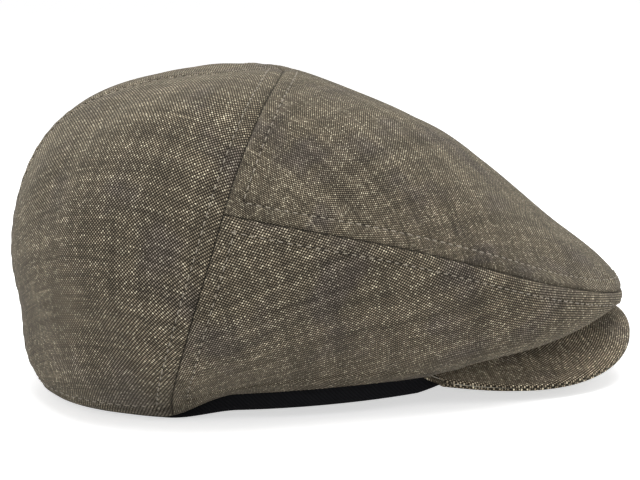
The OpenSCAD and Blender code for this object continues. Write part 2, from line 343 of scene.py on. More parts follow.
@dataclass(frozen=True)
class Crown:
    """The crown's dome over the unit disc: its middle is the crown point and its rim is the hem.

    Five profiles stand at 0, 45, 90, 135 and 180 degrees from the nose. Each is a cubic B-spline of
    seven control points; between them the points are mixed by Lagrange weights in the cosine.
    """

    plan: VisorPlan = field(default_factory=VisorPlan)
    height: float = 144.0
    reaches: tuple[float, ...] = (163.0, 128.0, 110.0, 124.0, 131.0)
    keys: tuple[tuple[tuple[float, float], ...], ...] = (
        ((0, 1), (0.22, 0.90), (0.46, 0.82), (0.74, 0.51), (1.00, 0.290), (0.96, 0.205)),
        ((0, 1), (0.28, 0.95), (0.61, 0.88), (0.89, 0.59), (1.00, 0.32), (0.86, 0.13)),
        ((0, 1), (0.38, 1.01), (0.78, 0.96), (0.97, 0.63), (0.98, 0.35), (0.80, 0.19)),
        ((0, 1), (0.38, 1.02), (0.77, 0.98), (0.99, 0.61), (0.97, 0.29), (0.87, 0.08)),
        ((0, 1), (0.36, 1.00), (0.78, 0.97), (0.99, 0.55), (0.92, 0.28), (0.93, 0.06)),
    )
    profile_deg: tuple[float, ...] = (0.0, 45.0, 90.0, 135.0, 180.0)
    lining_ease: float = 4.0
    lining_back_off: float = 34.0
    lining_rim_inset: float = 1.3
    lining_rim_lift: float = 2.0
    lined: bool = False

    def profiles(self) -> Array:
        """Control points of the five profiles, 5 by 6 by 2, drawn in for the lining where it is lined.

        Returns:
            How far out and how high each point is, in mm.
        """
        cosines = np.cos(np.radians(self.profile_deg))
        points = np.array(self.keys, float)
        points[..., 0] *= np.array(self.reaches)[:, None]
        points[..., 1] *= self.height
        if self.lined:
            nose = np.array([0, 0.1, 0.2, 0.35, 0.8, 1.3])
            share = ((1 + cosines) / 2) ** 4
            points[..., 0] -= self.lining_ease * np.minimum(1, np.arange(6) / 2)
            points[..., 0] -= (self.lining_back_off - self.lining_ease) * share[:, None] * nose
            points[..., 1] += self.lining_ease * np.array([-1, -1, -1, -1, 1, 2])
        return points

    def point(self, disc: Array) -> Array:
        """Places over points of the disc.

        Args:
            disc: points of the unit disc, of any shape by 2.

        Returns:
            Places in mm, of the same shape by 3.
        """
        radius = np.linalg.norm(disc, axis=-1)
        safe = np.maximum(radius, 1e-4)
        cosine = np.where(radius < 1e-4, 1.0, disc[..., 0] / safe)
        sine = np.where(radius < 1e-4, 0.0, disc[..., 1] / safe)
        nodes = np.cos(np.radians(self.profile_deg))
        weights = np.stack(
            [
                np.prod([(cosine - nodes[j]) / (nodes[k] - nodes[j]) for j in range(5) if j != k], axis=0)
                for k in range(5)
            ],
            -1,
        )
        body = np.einsum("...k,kij->...ij", weights, self.profiles())
        rim = self.plan.opening_radius(cosine, sine, self.lining_rim_inset if self.lined else 0.0)
        rim_z = self.plan.hem(rim * cosine, rim * sine) + (self.lining_rim_lift if self.lined else 0.0)
        control = np.concatenate([body, np.stack([rim, rim_z], -1)[..., None, :]], axis=-2)
        q = spline(control, np.minimum(1, radius))
        return np.stack([q[..., 0] * cosine, q[..., 0] * sine, q[..., 1]], -1)

    def slopes(self, disc: Array) -> tuple[Array, Array]:
        """Change of place for a unit of the disc, along its two axes, by central differences.

        Args:
            disc: points of the disc, of any shape by 2.

        Returns:
            The two changes, in mm, of the same shape by 3.
        """
        step = 0.004
        size = np.maximum(np.linalg.norm(disc, axis=-1, keepdims=True), step)
        m = disc * np.minimum(1, (1 - 2 * step) / size)
        along, across = np.array([step, 0.0]), np.array([0.0, step])
        return (
            (self.point(m + along) - self.point(m - along)) / (2 * step),
            (self.point(m + across) - self.point(m - across)) / (2 * step),
        )

    def normal(self, disc: Array) -> Array:
        """Outward unit normals over points of the disc."""
        return unit(np.cross(*self.slopes(disc)))

    def nearest(self, start: Array, target: Array) -> Array:
        """Disc points whose places are nearest to targets, by Gauss-Newton steps from a start.

        Args:
            start: first guesses in the disc, n by 2.
            target: places in mm, n by 3.

        Returns:
            Disc points, n by 2.
        """
        disc = start.copy()
        for _ in range(8):
            miss = target - self.point(disc)
            e, f = self.slopes(disc)
            ee, ff, ef = (np.einsum("ij,ij->i", *pair) for pair in ((e, e), (f, f), (e, f)))
            em, fm = np.einsum("ij,ij->i", e, miss), np.einsum("ij,ij->i", f, miss)
            det = np.maximum(ee * ff - ef * ef, 1e-6)
            move = np.stack([ff * em - ef * fm, ee * fm - ef * em], -1) / det[:, None]
            size = np.linalg.norm(move, axis=-1, keepdims=True)
            disc += move * np.minimum(1, 0.05 / np.maximum(size, 1e-9))
            rim = np.linalg.norm(disc, axis=-1, keepdims=True)
            disc *= np.minimum(1, 0.9999 / np.maximum(rim, 1e-9))
        return disc


class Side(Enum):
    """Which side of the cap a piece is on: its y is multiplied by this."""

    RIGHT = 1.0
    LEFT = -1.0


RIM_SEAM_DEG = -132.0
SIDE_SEAM = np.array(
    [
        [0, 0],
        [-0.01, -0.10],
        [-0.05, -0.26],
        [-0.16, -0.46],
        [-0.29, -0.645],
        [-0.49, -0.765],
        [math.cos(math.radians(RIM_SEAM_DEG)), math.sin(math.radians(RIM_SEAM_DEG))],
    ]
)
SIDE_SEAM_JOIN = 0.5
JOIN = spline(SIDE_SEAM, np.array(SIDE_SEAM_JOIN))
NOSE_SEAM = 0.80
LONG_SEAM = np.array(
    [JOIN, [-0.06, -0.53], [0.15, -0.57], [0.40, -0.505], [0.62, -0.37], [NOSE_SEAM, -0.14], [NOSE_SEAM, 0]]
)
CORNER_SHARE = 0.7
FLIP = np.array([1.0, -1.0])


def coons(u: Array, v: Array, edges: Sequence[Array], corners: Sequence[Array]) -> Array:
    """Coons patch: the two pairs of edges mixed across it, less the four corners mixed both ways.

    Args:
        u: first share, broadcast against v.
        v: second share.
        edges: the edges at v = 0, v = 1, u = 0 and u = 1, as arrays by 2.
        corners: the corners at (0, 0), (1, 0), (0, 1) and (1, 1).

    Returns:
        Disc points.
    """
    u, v = u[..., None], v[..., None]
    low, high, start, end = edges
    p00, p10, p01, p11 = corners
    mixed = (1 - v) * low + v * high + (1 - u) * start + u * end
    return mixed - (1 - u) * (1 - v) * p00 - u * (1 - v) * p10 - (1 - u) * v * p01 - u * v * p11


def top_patch(u: Array, v: Array) -> Array:
    """Top panel: u from the crosswise seam to the nose, v from the right to the left.

    Args:
        u: share from the crosswise seam to the nose.
        v: share from the right to the left.

    Returns:
        Disc points.
    """
    back = np.where(
        v[..., None] < 0.5,
        spline(SIDE_SEAM, SIDE_SEAM_JOIN * (1 - 2 * np.minimum(v, 0.5))),
        FLIP * spline(SIDE_SEAM, SIDE_SEAM_JOIN * (2 * np.maximum(v, 0.5) - 1)),
    )
    front_share = CORNER_SHARE + (1 - CORNER_SHARE) * 2 * np.minimum(v, 1 - v)
    front = spline(LONG_SEAM, front_share) * np.where(v[..., None] < 0.5, 1.0, FLIP)
    low = spline(LONG_SEAM, CORNER_SHARE * u)
    corner = spline(LONG_SEAM, np.array(CORNER_SHARE))
    return coons(u, v, (low, FLIP * low, back, front), (JOIN, corner, FLIP * JOIN, FLIP * corner))


def side_patch(u: Array, v: Array) -> Array:
    """Right side panel: u from the crosswise seam to the centre front, v from the hem to the long seam.

    Args:
        u: share from the crosswise seam to the centre front.
        v: share from the hem to the long seam.

    Returns:
        Disc points.
    """
    angle = np.radians(RIM_SEAM_DEG * (1 - u))
    hem = np.stack([np.cos(angle), np.sin(angle)], -1)
    centre = np.stack([1 - (1 - NOSE_SEAM) * v, 0 * v], -1)
    seam = spline(SIDE_SEAM, 1 - (1 - SIDE_SEAM_JOIN) * v)
    corners = (SIDE_SEAM[-1], np.array([1.0, 0.0]), JOIN, np.array([NOSE_SEAM, 0.0]))
    return coons(u, v, (hem, spline(LONG_SEAM, u), seam, centre), corners)


def back_patch(u: Array, v: Array) -> Array:
    """Right back panel, a polar fan: u from centre back to crosswise seam, v from the hem up.

    Args:
        u: share from the centre back to the crosswise seam.
        v: share from the hem to the crown point.

    Returns:
        Disc points.
    """
    s = spline(SIDE_SEAM, 1 - v)
    radius = (1 - u) * (1 - v) + u * np.linalg.norm(s, axis=-1)
    angle = (1 - u) * math.pi + u * (2 * math.pi + np.arctan2(s[..., 1], s[..., 0]))
    return np.stack([radius * np.cos(angle), radius * np.sin(angle)], -1)


# ---------------------------------------------------------------------------------------------
# Seams and cloth relief
# ---------------------------------------------------------------------------------------------


@dataclass(frozen=True)
class Line:
    """A line on the crown, sampled evenly enough to measure distances from."""

    disc: Array
    place: Array
    tangent: Array
    run: Array

    @staticmethod
    def over(crown: Crown, disc: Array, spacing: float = 0.6) -> "Line":
        """Samples a line of the disc again, evenly by its length on the crown.

        Args:
            crown: the surface.
            disc: points of the line in the disc, close together.
            spacing: the spacing on the crown, in mm.

        Returns:
            The line.
        """
        run = run_lengths(crown.point(disc))
        even = np.linspace(0, run[-1], max(4, int(run[-1] / spacing)))
        again = np.stack([np.interp(even, run, disc[:, k]) for k in (0, 1)], -1)
        place = crown.point(again)
        return Line(again, place, unit(np.gradient(place, axis=0)), run_lengths(place))

    def distance(self, points: Array) -> tuple[Array, Array]:
        """Distance from points to the line, and the run along it at the nearest sample.

        The nearest sample's tangent takes off the part of the offset that lies along the line.

        Args:
            points: places in mm, of any shape by 3.

        Returns:
            Distances and runs, in mm, of the points' shape.
        """
        flat = points.reshape(-1, 3).astype(np.float32)
        samples = self.place.astype(np.float32)
        square = (samples**2).sum(-1)
        batches = np.array_split(flat, max(1, len(flat) // 4000))
        index = np.concatenate([np.argmin(square - 2 * (batch @ samples.T), axis=1) for batch in batches])
        offset = flat - self.place[index]
        along = np.einsum("ij,ij->i", offset, self.tangent[index])
        inside = np.clip(self.run[index] + along, 0, self.run[-1])
        along = inside - self.run[index]
        gap = np.linalg.norm(offset - along[:, None] * self.tangent[index], axis=-1)
        return gap.reshape(points.shape[:-1]), inside.reshape(points.shape[:-1])


@dataclass(frozen=True)
class Fold:
    """A soft fold in the cloth along a bent line of the disc and its mirror: a ridge if it is positive."""

    disc: tuple[tuple[float, float], tuple[float, float], tuple[float, float]]
    width: float
    height: float

    def lift(self, crown: Crown, places: Array) -> Array:
        """Lift of the cloth: height times a bell over the distance, fading to the line's two ends.

        Args:
            crown: the surface the fold lies on.
            places: places on it, in mm.

        Returns:
            Lifts in mm.
        """
        t = np.linspace(0, 1, 120)[:, None]
        a, b, c = (np.array(p) for p in self.disc)
        path = (1 - t) ** 2 * a + 2 * t * (1 - t) * b + t**2 * c
        total = np.zeros(places.shape[:-1])
        for side in Side:
            line = Line.over(crown, path * np.array([1.0, side.value]), 1.5)
            gap, run = line.distance(places)
            fade = np.sin(math.pi * np.clip(run / line.run[-1], 0, 1)) ** 0.8
            total += self.height * bell(gap / self.width) * fade
        return total


@dataclass
class Seams:
    """The crown's seams and hem, and the relief that they and the cloth's ease give the surface.

    Sizes in mm. A row of topstitching runs on each side of a seam; the hem's own row shows only
    behind a set place; the waves are the cloth's slow unevenness.
    """

    crown: Crown
    row_offset: float = 6.3
    hem_row: float = 12.5
    hem_fold: float = 9.5
    hem_row_ends: float = -52.0
    stitch_pitch: float = 3.8
    wave_count: int = 8
    wave_lengths: tuple[float, float] = (34.0, 95.0)
    wave_height: float = 0.17
    folds: tuple[Fold, ...] = (
        Fold(((-0.10, -0.06), (-0.35, -0.20), (-0.62, -0.30)), 11.0, -1.3),
        Fold(((-0.04, -0.05), (-0.10, -0.22), (-0.22, -0.36)), 8.0, 0.9),
        Fold(((0.40, -0.42), (0.56, -0.33), (0.70, -0.18)), 8.0, -2.1),
        Fold(((0.02, -0.48), (0.24, -0.47), (0.42, -0.40)), 9.0, -0.7),
        Fold(((0.08, -0.20), (0.30, -0.16), (0.55, -0.10)), 13.0, 0.8),
        Fold(((-0.30, -0.80), (0.00, -0.78), (0.25, -0.66)), 12.0, -0.9),
        Fold(((-0.10, -0.70), (0.20, -0.69), (0.48, -0.52)), 12.0, 0.8),
        Fold(((-0.75, -0.50), (-0.66, -0.42), (-0.52, -0.40)), 12.0, 0.8),
        Fold(((-0.88, -0.20), (-0.72, -0.24), (-0.50, -0.18)), 14.0, -0.9),
    )
    lines: dict[str, Line] = field(init=False)
    hem: Line = field(init=False)

    def __post_init__(self) -> None:
        """Samples every seam and the hem on the crown."""
        share = np.linspace(0, 1, 400)
        side, long = spline(SIDE_SEAM, share), spline(LONG_SEAM, share)
        turn = np.linspace(-math.pi, math.pi, 1200)
        nose = np.stack([NOSE_SEAM + (1 - NOSE_SEAM) * share, 0 * share], -1)
        self.lines = {
            "side_right": Line.over(self.crown, side),
            "side_left": Line.over(self.crown, side * FLIP),
            "long_right": Line.over(self.crown, long),
            "long_left": Line.over(self.crown, long * FLIP),
            "centre_back": Line.over(self.crown, np.stack([-share, 0 * share], -1)),
            "centre_front": Line.over(self.crown, nose),
        }
        self.hem = Line.over(self.crown, np.stack([np.cos(turn), np.sin(turn)], -1))

    def measure(self, places: Array) -> dict[str, Array]:
        """Distances that the relief and the finish read.

        Args:
            places: places on the crown, in mm.

        Returns:
            seam: distance to the nearest seam; run: length along it; hem: distance to the hem; hem_run.
        """
        found = [line.distance(places) for line in self.lines.values()]
        gaps, runs = np.stack([g for g, _ in found]), np.stack([r for _, r in found])
        nearest = np.argmin(gaps, axis=0)[None]
        hem, hem_run = self.hem.distance(places)
        return {
            "seam": np.take_along_axis(gaps, nearest, 0)[0],
            "run": np.take_along_axis(runs, nearest, 0)[0],
            "hem": hem,
            "hem_run": hem_run,
        }

    def relief(self, places: Array, near: dict[str, Array]) -> Array:
        """Lift of the outer cloth along the normal, in mm.

        A ditch along each seam, the seam allowance's low plateau out to the topstitching, a groove
        and puckers at the topstitching, a folded hem, soft folds, and slow unevenness from eight
        plane waves.

        Args:
            places: places on the crown, in mm.
            near: what measure() found there.

        Returns:
            Lifts in mm.
        """
        gap, run, hem = near["seam"], near["run"], near["hem"]
        ditch = -0.50 * bell(gap / 0.55) - 0.32 * bell(gap / 2.2)
        plateau = 0.38 * smooth((self.row_offset + 0.6 - gap) / 1.6) * smooth(gap / 2.2)
        groove = -0.28 * bell((gap - self.row_offset) / 0.8)
        wave = np.sin(2 * math.pi * run / (2 * self.stitch_pitch) + 0.9 * np.sin(run / 17.0))
        pucker = 0.16 * wave * bell((gap - self.row_offset) / 3.4)
        slow = 0.22 * np.sin(run / 8.3 + 2.0 * np.sin(run / 31.0)) * bell((gap - 4.0) / 6.0)
        free = smooth(hem / 6.0)
        fold = 0.45 * smooth((self.hem_fold - hem) / 2.0)
        # The hem's row of stitches shows only round the back.
        fold -= 0.22 * bell((hem - self.hem_row) / 0.8) * smooth((self.hem_row_ends - places[..., 0]) / 6.0)
        fold += 0.15 * np.sin(2 * math.pi * near["hem_run"] / 13.0) * bell((hem - 8.0) / 4.0)
        total = (ditch + plateau + groove + pucker + slow) * free + fold
        folds = sum(f.lift(self.crown, places) for f in self.folds)
        total += folds * smooth(hem / 18.0) * smooth((gap - 0.5) / 5.0)
        draw = np.random.default_rng(11)
        for _ in range(self.wave_count):
            direction = unit(draw.normal(size=3))
            length = draw.uniform(*self.wave_lengths)
            wave = np.sin(places @ direction * 2 * math.pi / length + draw.uniform(0, 6.3))
            total = total + self.wave_height * wave * smooth(hem / 25.0)
        return total


# ---------------------------------------------------------------------------------------------
# Finishes
# ---------------------------------------------------------------------------------------------


def add_node(
    tree: bpy.types.NodeTree,
    kind: str,
    settings: dict[str, Any] | None = None,
    **inputs: Any,
) -> Any:
    """Adds a node, sets its properties, and fills or links its inputs.

    Args:
        tree: the node tree.
        kind: the node's type name.
        settings: properties of the node.
        inputs: an input's name, with spaces as underscores, or "in0", "in1" by number; each is an
            output socket to link or a value to set.

    Returns:
        The node.
    """
    node = tree.nodes.new(kind)
    for key, value in (settings or {}).items():
        setattr(node, key, value)
    for key, value in inputs.items():
        numbered = key.startswith("in") and key[2:].isdigit()
        socket = node.inputs[int(key[2:]) if numbered else key.replace("_", " ")]
        if isinstance(value, bpy.types.NodeSocket):
            tree.links.new(value, socket)
        else:
            socket.default_value = value
    return node


class Sums:
    """Arithmetic on sockets of one node tree."""

    def __init__(self, tree: bpy.types.NodeTree) -> None:
        """Keeps the tree.

        Args:
            tree: the node tree.
        """
        self.tree = tree

    def op(self, operation: str, *values: Any) -> Any:
        """Output of a Math node of that operation on sockets or numbers."""
        inputs = {f"in{i}": v for i, v in enumerate(values)}
        return add_node(self.tree, "ShaderNodeMath", {"operation": operation}, **inputs).outputs[0]

    def ramp(self, value: Any, low: float, high: float, to: tuple[float, float] = (0.0, 1.0)) -> Any:
        """Smooth step of a value from low to high, onto the range given.

        Args:
            value: a socket or a number.
            low: where the step starts.
            high: where it ends.
            to: what it gives at the start and at the end.

        Returns:
            The output socket.
        """
        return add_node(
            self.tree,
            "ShaderNodeMapRange",
            {"interpolation_type": "SMOOTHSTEP"},
            Value=value,
            From_Min=low,
            From_Max=high,
            To_Min=to[0],
            To_Max=to[1],
        ).outputs[0]

    def mix(self, share: Any, first: Any, second: Any, blend: str = "MIX") -> Any:
        """Colour mixed from two colours by a share.

        Args:
            share: 0 for the first colour, 1 for the second.
            first: a socket or an RGBA colour.
            second: a socket or an RGBA colour.
            blend: how the second is laid over the first.

        Returns:
            The output socket.
        """
        node = add_node(self.tree, "ShaderNodeMix", {"data_type": "RGBA", "blend_type": blend})
        for socket, value in ((node.inputs[0], share), (node.inputs[6], first), (node.inputs[7], second)):
            if isinstance(value, bpy.types.NodeSocket):
                self.tree.links.new(value, socket)
            else:
                socket.default_value = value
        return node.outputs[2]

    def vector(self, x: Any, y: Any, z: Any = 0.0) -> Any:
        """Vector of three sockets or numbers."""
        return add_node(self.tree, "ShaderNodeCombineXYZ", None, in0=x, in1=y, in2=z).outputs[0]

    def noise(self, vector: Any, scale: float, detail: float = 1.0, roughness: float = 0.5) -> Any:
        """Value of a noise texture, from 0 to 1.

        Args:
            vector: where to read it.
            scale: how many lumps to a unit.
            detail: how many finer layers it has.
            roughness: how strong those are.

        Returns:
            The output socket.
        """
        return add_node(
            self.tree,
            "ShaderNodeTexNoise",
            None,
            Vector=vector,
            Scale=scale,
            Detail=detail,
            Roughness=roughness,
        ).outputs[0]

    def scatter(self, column: Any, row: Any) -> Any:
        """A value of its own, from 0 to 1, for each whole column and row.

        Args:
            column: socket of a whole number.
            row: socket of a whole number.

        Returns:
            The output socket.
        """
        where = self.vector(column, row)
        return add_node(
            self.tree,
            "ShaderNodeTexWhiteNoise",
            {"noise_dimensions": "2D"},
            Vector=where,
        ).outputs[0]

    def both(self, first: Any, second: Any) -> Any:
        """Product of two sockets or numbers."""
        return self.op("MULTIPLY", first, second)

    def streaks(self, along: Any, across: Any, long: float, spread: float, z: float = 0.0) -> Any:
        """Points for noise in streaks: long mm along a yarn, and apart from one yarn to the next."""
        return self.vector(self.op("DIVIDE", along, long), self.both(across, spread), z)

    def seen_direct(self) -> Any:
        """1 for camera rays and for rays off mirrors and through glass, 0 for the light on surfaces.

        Returns:
            The output socket.
        """
        path = add_node(self.tree, "ShaderNodeLightPath").outputs
        through = self.op("MAXIMUM", path["Is Glossy Ray"], path["Is Transmission Ray"])
        return self.op("MAXIMUM", path["Is Camera Ray"], through)


def new_material(name: str) -> tuple[bpy.types.Material, bpy.types.NodeTree, Any]:
    """A new material with an empty Principled shader.

    Args:
        name: the material's name.

    Returns:
        The material, its node tree and its Principled node.
    """
    material = bpy.data.materials.new(name)
    material.use_nodes = True
    tree = material.node_tree
    return material, tree, tree.nodes["Principled BSDF"]


def cloth_axes(tree: bpy.types.NodeTree) -> tuple[Any, Any]:
    """The cloth's two coordinates in mm, from the piece's own UV map, as sockets.

    Args:
        tree: the node tree.

    Returns:
        Sockets of the first and the second coordinate.
    """
    uv = add_node(tree, "ShaderNodeUVMap", {"uv_map": "cloth"}).outputs[0]
    split = add_node(tree, "ShaderNodeSeparateXYZ", None, Vector=uv)
    return split.outputs[0], split.outputs[1]


def vertex_value(tree: bpy.types.NodeTree, name: str) -> Any:
    """A piece's own named vertex value, as a socket."""
    return add_node(tree, "ShaderNodeAttribute", {"attribute_name": name}).outputs["Fac"]


@dataclass(frozen=True)
class Chambray:
    """Slubby linen and cotton chambray, plain woven from dark warp and pale weft, brushed by wear.

    It shows as pale dots on a dark ground where the weft passes over the warp, with thick slubs
    along single yarns and slow bands of shade. Yarns are 0.66 mm apart, and up to 0.77 mm where a
    panel's spread is less than 1: as coarse as they need to be to show at arm's length.
    """

    name: str = "slubby_chambray"
    pitch: float = 0.66
    # Multiplies the whole colour; a copy made lighter with it paints in light, as the visor's does.
    lightness: float = 0.91
    ground: str = "#1b1610"
    warp: str = "#342e24"
    weft: str = "#b9ab92"
    cream: str = "#f0e4c6"
    lilac: str = "#8d8388"
    sheen_tint: str = "#d8cfbb"
    row_offset: float = Seams.row_offset
    hem_row: float = Seams.hem_row
    stitch_pitch: float = Seams.stitch_pitch
    pit_reach: float = 0.95
    # How far the needle pits darken the colour: painted shade in the pits.
    pit_painted_shade: float = 0.62
    pit_depth: float = 2.4
    yarn_height: float = 0.32

    def build(self) -> bpy.types.Material:
        """Makes the material: yarns, their shade, then painted shade in the seams' ditches and the stitches'
        needle pits.

        Returns:
            The material.
        """
        material, tree, shader = new_material(self.name)
        s = Sums(tree)
        u, v = cloth_axes(tree)
        colour, height = self.weave(s, u, v)
        shade = self.bands(s, u, v)
        gap, run = vertex_value(tree, "seam"), vertex_value(tree, "run")
        hem, hem_run = vertex_value(tree, "hem"), vertex_value(tree, "hem_run")
        seam_pits = self.pits(s, gap, run, self.row_offset)
        pits = s.op("MAXIMUM", seam_pits, self.pits(s, hem, hem_run, self.hem_row))
        # Painted shade: the colour is darkened along the seam's ditch and in the needle pits, where shade
        # falls; the pits are sunk in the bump as well.
        seam_ditch_shade = s.ramp(gap, 0.10, 0.50, (0.50, 1.0))
        marks = s.both(seam_ditch_shade, s.op("MULTIPLY_ADD", pits, -self.pit_painted_shade, 1.0))
        height = s.op("SUBTRACT", height, s.both(pits, self.pit_depth))
        shade = s.both(s.both(shade, marks), self.lightness)
        colour = s.mix(1.0, colour, s.vector(shade, shade, shade), "MULTIPLY")
        bump = add_node(
            tree,
            "ShaderNodeBump",
            None,
            Strength=0.55,
            Distance=self.yarn_height * MM,
            Height=height,
        )
        tree.links.new(colour, shader.inputs["Base Color"])
        tree.links.new(bump.outputs[0], shader.inputs["Normal"])
        shader.inputs["Roughness"].default_value = 0.92
        shader.inputs["Specular IOR Level"].default_value = 0.18
        shader.inputs["Sheen Weight"].default_value = 0.22
        shader.inputs["Sheen Roughness"].default_value = 0.45
        shader.inputs["Sheen Tint"].default_value = linear(self.sheen_tint)
        return material

    def weave(self, s: Sums, u: Any, v: Any) -> tuple[Any, Any]:
        """Colour and height of the woven yarns.

        The product of a sine across the columns and one across the rows is positive over a weft
        crossing and negative over a warp crossing.

        Args:
            s: sums on the material's tree.
            u: cloth coordinate along the weft, in mm.
            v: cloth coordinate along the warp, in mm.

        Returns:
            The colour and the height, as sockets.
        """
        where = s.vector(u, v)
        # Yarns wander sideways, mostly by less than a fifth of their pitch.
        wander = [s.both(s.op("SUBTRACT", s.noise(where, f, 2.0), 0.5), 0.9) for f in (0.055, 0.048)]
        x = s.op("ADD", s.op("DIVIDE", u, self.pitch), wander[0])
        y = s.op("ADD", s.op("DIVIDE", v, self.pitch), wander[1])
        sines = [s.op("SINE", s.both(a, math.pi)) for a in (x, y)]
        cross = s.both(*sines)
        column, row = s.op("FLOOR", x), s.op("FLOOR", y)
        dot = s.scatter(column, row)
        weft_shade = s.noise(s.streaks(u, row, 34.0, 7.31), 1.0, 2.0, 0.6)
        warp_shade = s.noise(s.vector(s.both(column, 5.17), s.op("DIVIDE", v, 28.0)), 1.0, 2.0, 0.6)
        slub = s.ramp(s.noise(s.streaks(u, row, 30.0, 3.77, 4.0), 1.0, 0.0), 0.74, 0.90)
        slub_up = s.noise(s.vector(s.both(column, 4.93), s.op("DIVIDE", v, 22.0), 9.0), 1.0, 0.0)
        slub_up = s.ramp(slub_up, 0.72, 0.88)
        # A pale weft dot's strength comes from the dot, its yarn, and uneven spinning, which makes
        # a stretch of two or three yarns and crossings paler or duller than its neighbours.
        strength = s.op("MULTIPLY_ADD", s.op("POWER", dot, 1.4), 0.38, 0.60)
        strength = s.both(strength, s.ramp(weft_shade, 0.30, 0.70, (0.60, 1.22)))
        uneven = s.scatter(s.op("FLOOR", s.both(x, 0.36)), s.op("FLOOR", s.both(y, 0.5)))
        strength = s.both(strength, s.ramp(uneven, 0.0, 1.0, (0.86, 1.14)))
        # A slub is a thick place: its dots widen and its yarn's middle shows between them.
        low = s.op("MULTIPLY_ADD", slub, -0.30, -0.02)
        pale = s.both(s.ramp(s.op("SUBTRACT", cross, low), 0.0, 0.58), strength)
        core = s.both(slub, s.ramp(s.op("ABSOLUTE", sines[1]), 0.4, 1.0, (0.0, 0.18)))
        pale = s.op("MINIMUM", s.op("ADD", pale, core), 1.0)
        warp_top = s.ramp(s.both(cross, -1.0), 0.05, 0.85)
        raised = s.both(warp_top, s.ramp(warp_shade, 0.3, 0.7, (0.45, 1.15)))
        raised = s.op("MAXIMUM", raised, s.both(slub_up, 0.8))
        yarn = s.mix(s.ramp(dot, 0.72, 0.98), linear(self.weft), linear(self.cream))
        clouds = s.ramp(s.noise(where, 0.03, 3.0), 0.50, 0.68)
        yarn = s.mix(s.both(clouds, 0.45), yarn, linear(self.lilac))
        ground = s.mix(raised, linear(self.ground), linear(self.warp))
        thick = s.both(s.op("MAXIMUM", slub, slub_up), 0.7)
        return s.mix(pale, ground, yarn), s.op("ADD", s.op("ABSOLUTE", cross), thick)

    def bands(self, s: Sums, u: Any, v: Any) -> Any:
        """Slow bands of shade along both yarns, each long one way and narrow the other.

        Args:
            s: sums on the material's tree.
            u: cloth coordinate along the weft, in mm.
            v: cloth coordinate along the warp, in mm.

        Returns:
            A factor about 1, as a socket.
        """
        weft_bands = s.noise(s.vector(s.op("DIVIDE", u, 150.0), s.op("DIVIDE", v, 7.0)), 1.0, 2.0)
        warp_bands = s.noise(s.vector(s.op("DIVIDE", u, 6.5), s.op("DIVIDE", v, 120.0), 3.0), 1.0, 2.0)
        weft_shade = s.ramp(weft_bands, 0.32, 0.68, (0.83, 1.14))
        return s.both(weft_shade, s.ramp(warp_bands, 0.32, 0.68, (0.82, 1.14)))

    def pits(self, s: Sums, gap: Any, run: Any, offset: float) -> Any:
        """Needle pits between stitches: a bell across the row times a peak once a stitch along it.

        Args:
            s: sums on the material's tree.
            gap: distance from the seam or hem, in mm.
            run: length along it, in mm.
            offset: how far from it the row is, in mm.

        Returns:
            1 in a pit and 0 away from them, as a socket.
        """
        aside = s.op("ABSOLUTE", s.op("SUBTRACT", gap, offset))
        across = s.ramp(aside, 0.0, self.pit_reach, (1.0, 0.0))
        turn = s.both(run, 2 * math.pi / self.stitch_pitch)
        return s.both(across, s.ramp(s.op("COSINE", turn), 0.45, 0.98))


@dataclass(frozen=True)
class WovenFinish:
    """A plain dark or pale woven cloth with a fine diagonal or plain weave and little colour change."""

    name: str
    light: str
    dark: str
    pitch: float
    diagonal: float = 0.0
    roughness: float = 0.85
    sheen: float = 0.2
    depth: float = 0.15
    specular: float = 0.3

    def build(self) -> bpy.types.Material:
        """Makes the material: a slanted sine for twill, or two crossed ones, over clouds and fuzz.

        Returns:
            The material.
        """
        material, tree, shader = new_material(self.name)
        s = Sums(tree)
        u, v = cloth_axes(tree)
        x = s.op("MULTIPLY", s.op("ADD", u, s.op("MULTIPLY", v, self.diagonal)), math.pi / self.pitch)
        rib = s.op("SINE", x)
        if not self.diagonal:
            rib = s.both(rib, s.op("SINE", s.both(v, math.pi / self.pitch)))
        clouds = s.noise(s.vector(u, v), 0.06, 3.0)
        fuzz = s.noise(s.vector(u, v), 1.7, 2.0)
        share = s.op("ADD", s.both(s.ramp(rib, -1.0, 1.0), 0.45), s.both(s.op("ADD", clouds, fuzz), 0.27))
        tree.links.new(s.mix(share, linear(self.dark), linear(self.light)), shader.inputs["Base Color"])
        bump = add_node(
            tree,
            "ShaderNodeBump",
            None,
            Strength=0.5,
            Distance=self.depth * MM,
            Height=s.op("ADD", rib, fuzz),
        )
        tree.links.new(bump.outputs[0], shader.inputs["Normal"])
        shader.inputs["Roughness"].default_value = self.roughness
        shader.inputs["Specular IOR Level"].default_value = self.specular
        shader.inputs["Sheen Weight"].default_value = self.sheen
        shader.inputs["Sheen Roughness"].default_value = 0.4
        return material


@dataclass(frozen=True)
class SpunThread:
    """Spun polyester sewing thread: two plies twisted, with a dull sheen."""

    name: str
    light: str
    dark: str
    twist_pitch: float = 0.9

    def build(self) -> bpy.types.Material:
        """Makes the material: pale and dark plies wound round by a slanted sine, with fibre noise.

        Returns:
            The material.
        """
        material, tree, shader = new_material(self.name)
        s = Sums(tree)
        u, v = cloth_axes(tree)
        along, around = s.both(u, 2 * math.pi / self.twist_pitch), s.both(v, 2 * math.pi)
        twist = s.op("SINE", s.op("ADD", along, around))
        fuzz = s.noise(s.vector(u, v), 2.5, 2.0)
        share = s.op("ADD", s.ramp(twist, -1.0, 1.0, (0.1, 0.7)), s.op("MULTIPLY", fuzz, 0.35))
        tree.links.new(s.mix(share, linear(self.dark), linear(self.light)), shader.inputs["Base Color"])
        bump = add_node(tree, "ShaderNodeBump", None, Strength=0.4, Distance=0.1 * MM, Height=twist)
        tree.links.new(bump.outputs[0], shader.inputs["Normal"])
        shader.inputs["Roughness"].default_value = 0.7
        shader.inputs["Sheen Weight"].default_value = 0.2
        return material


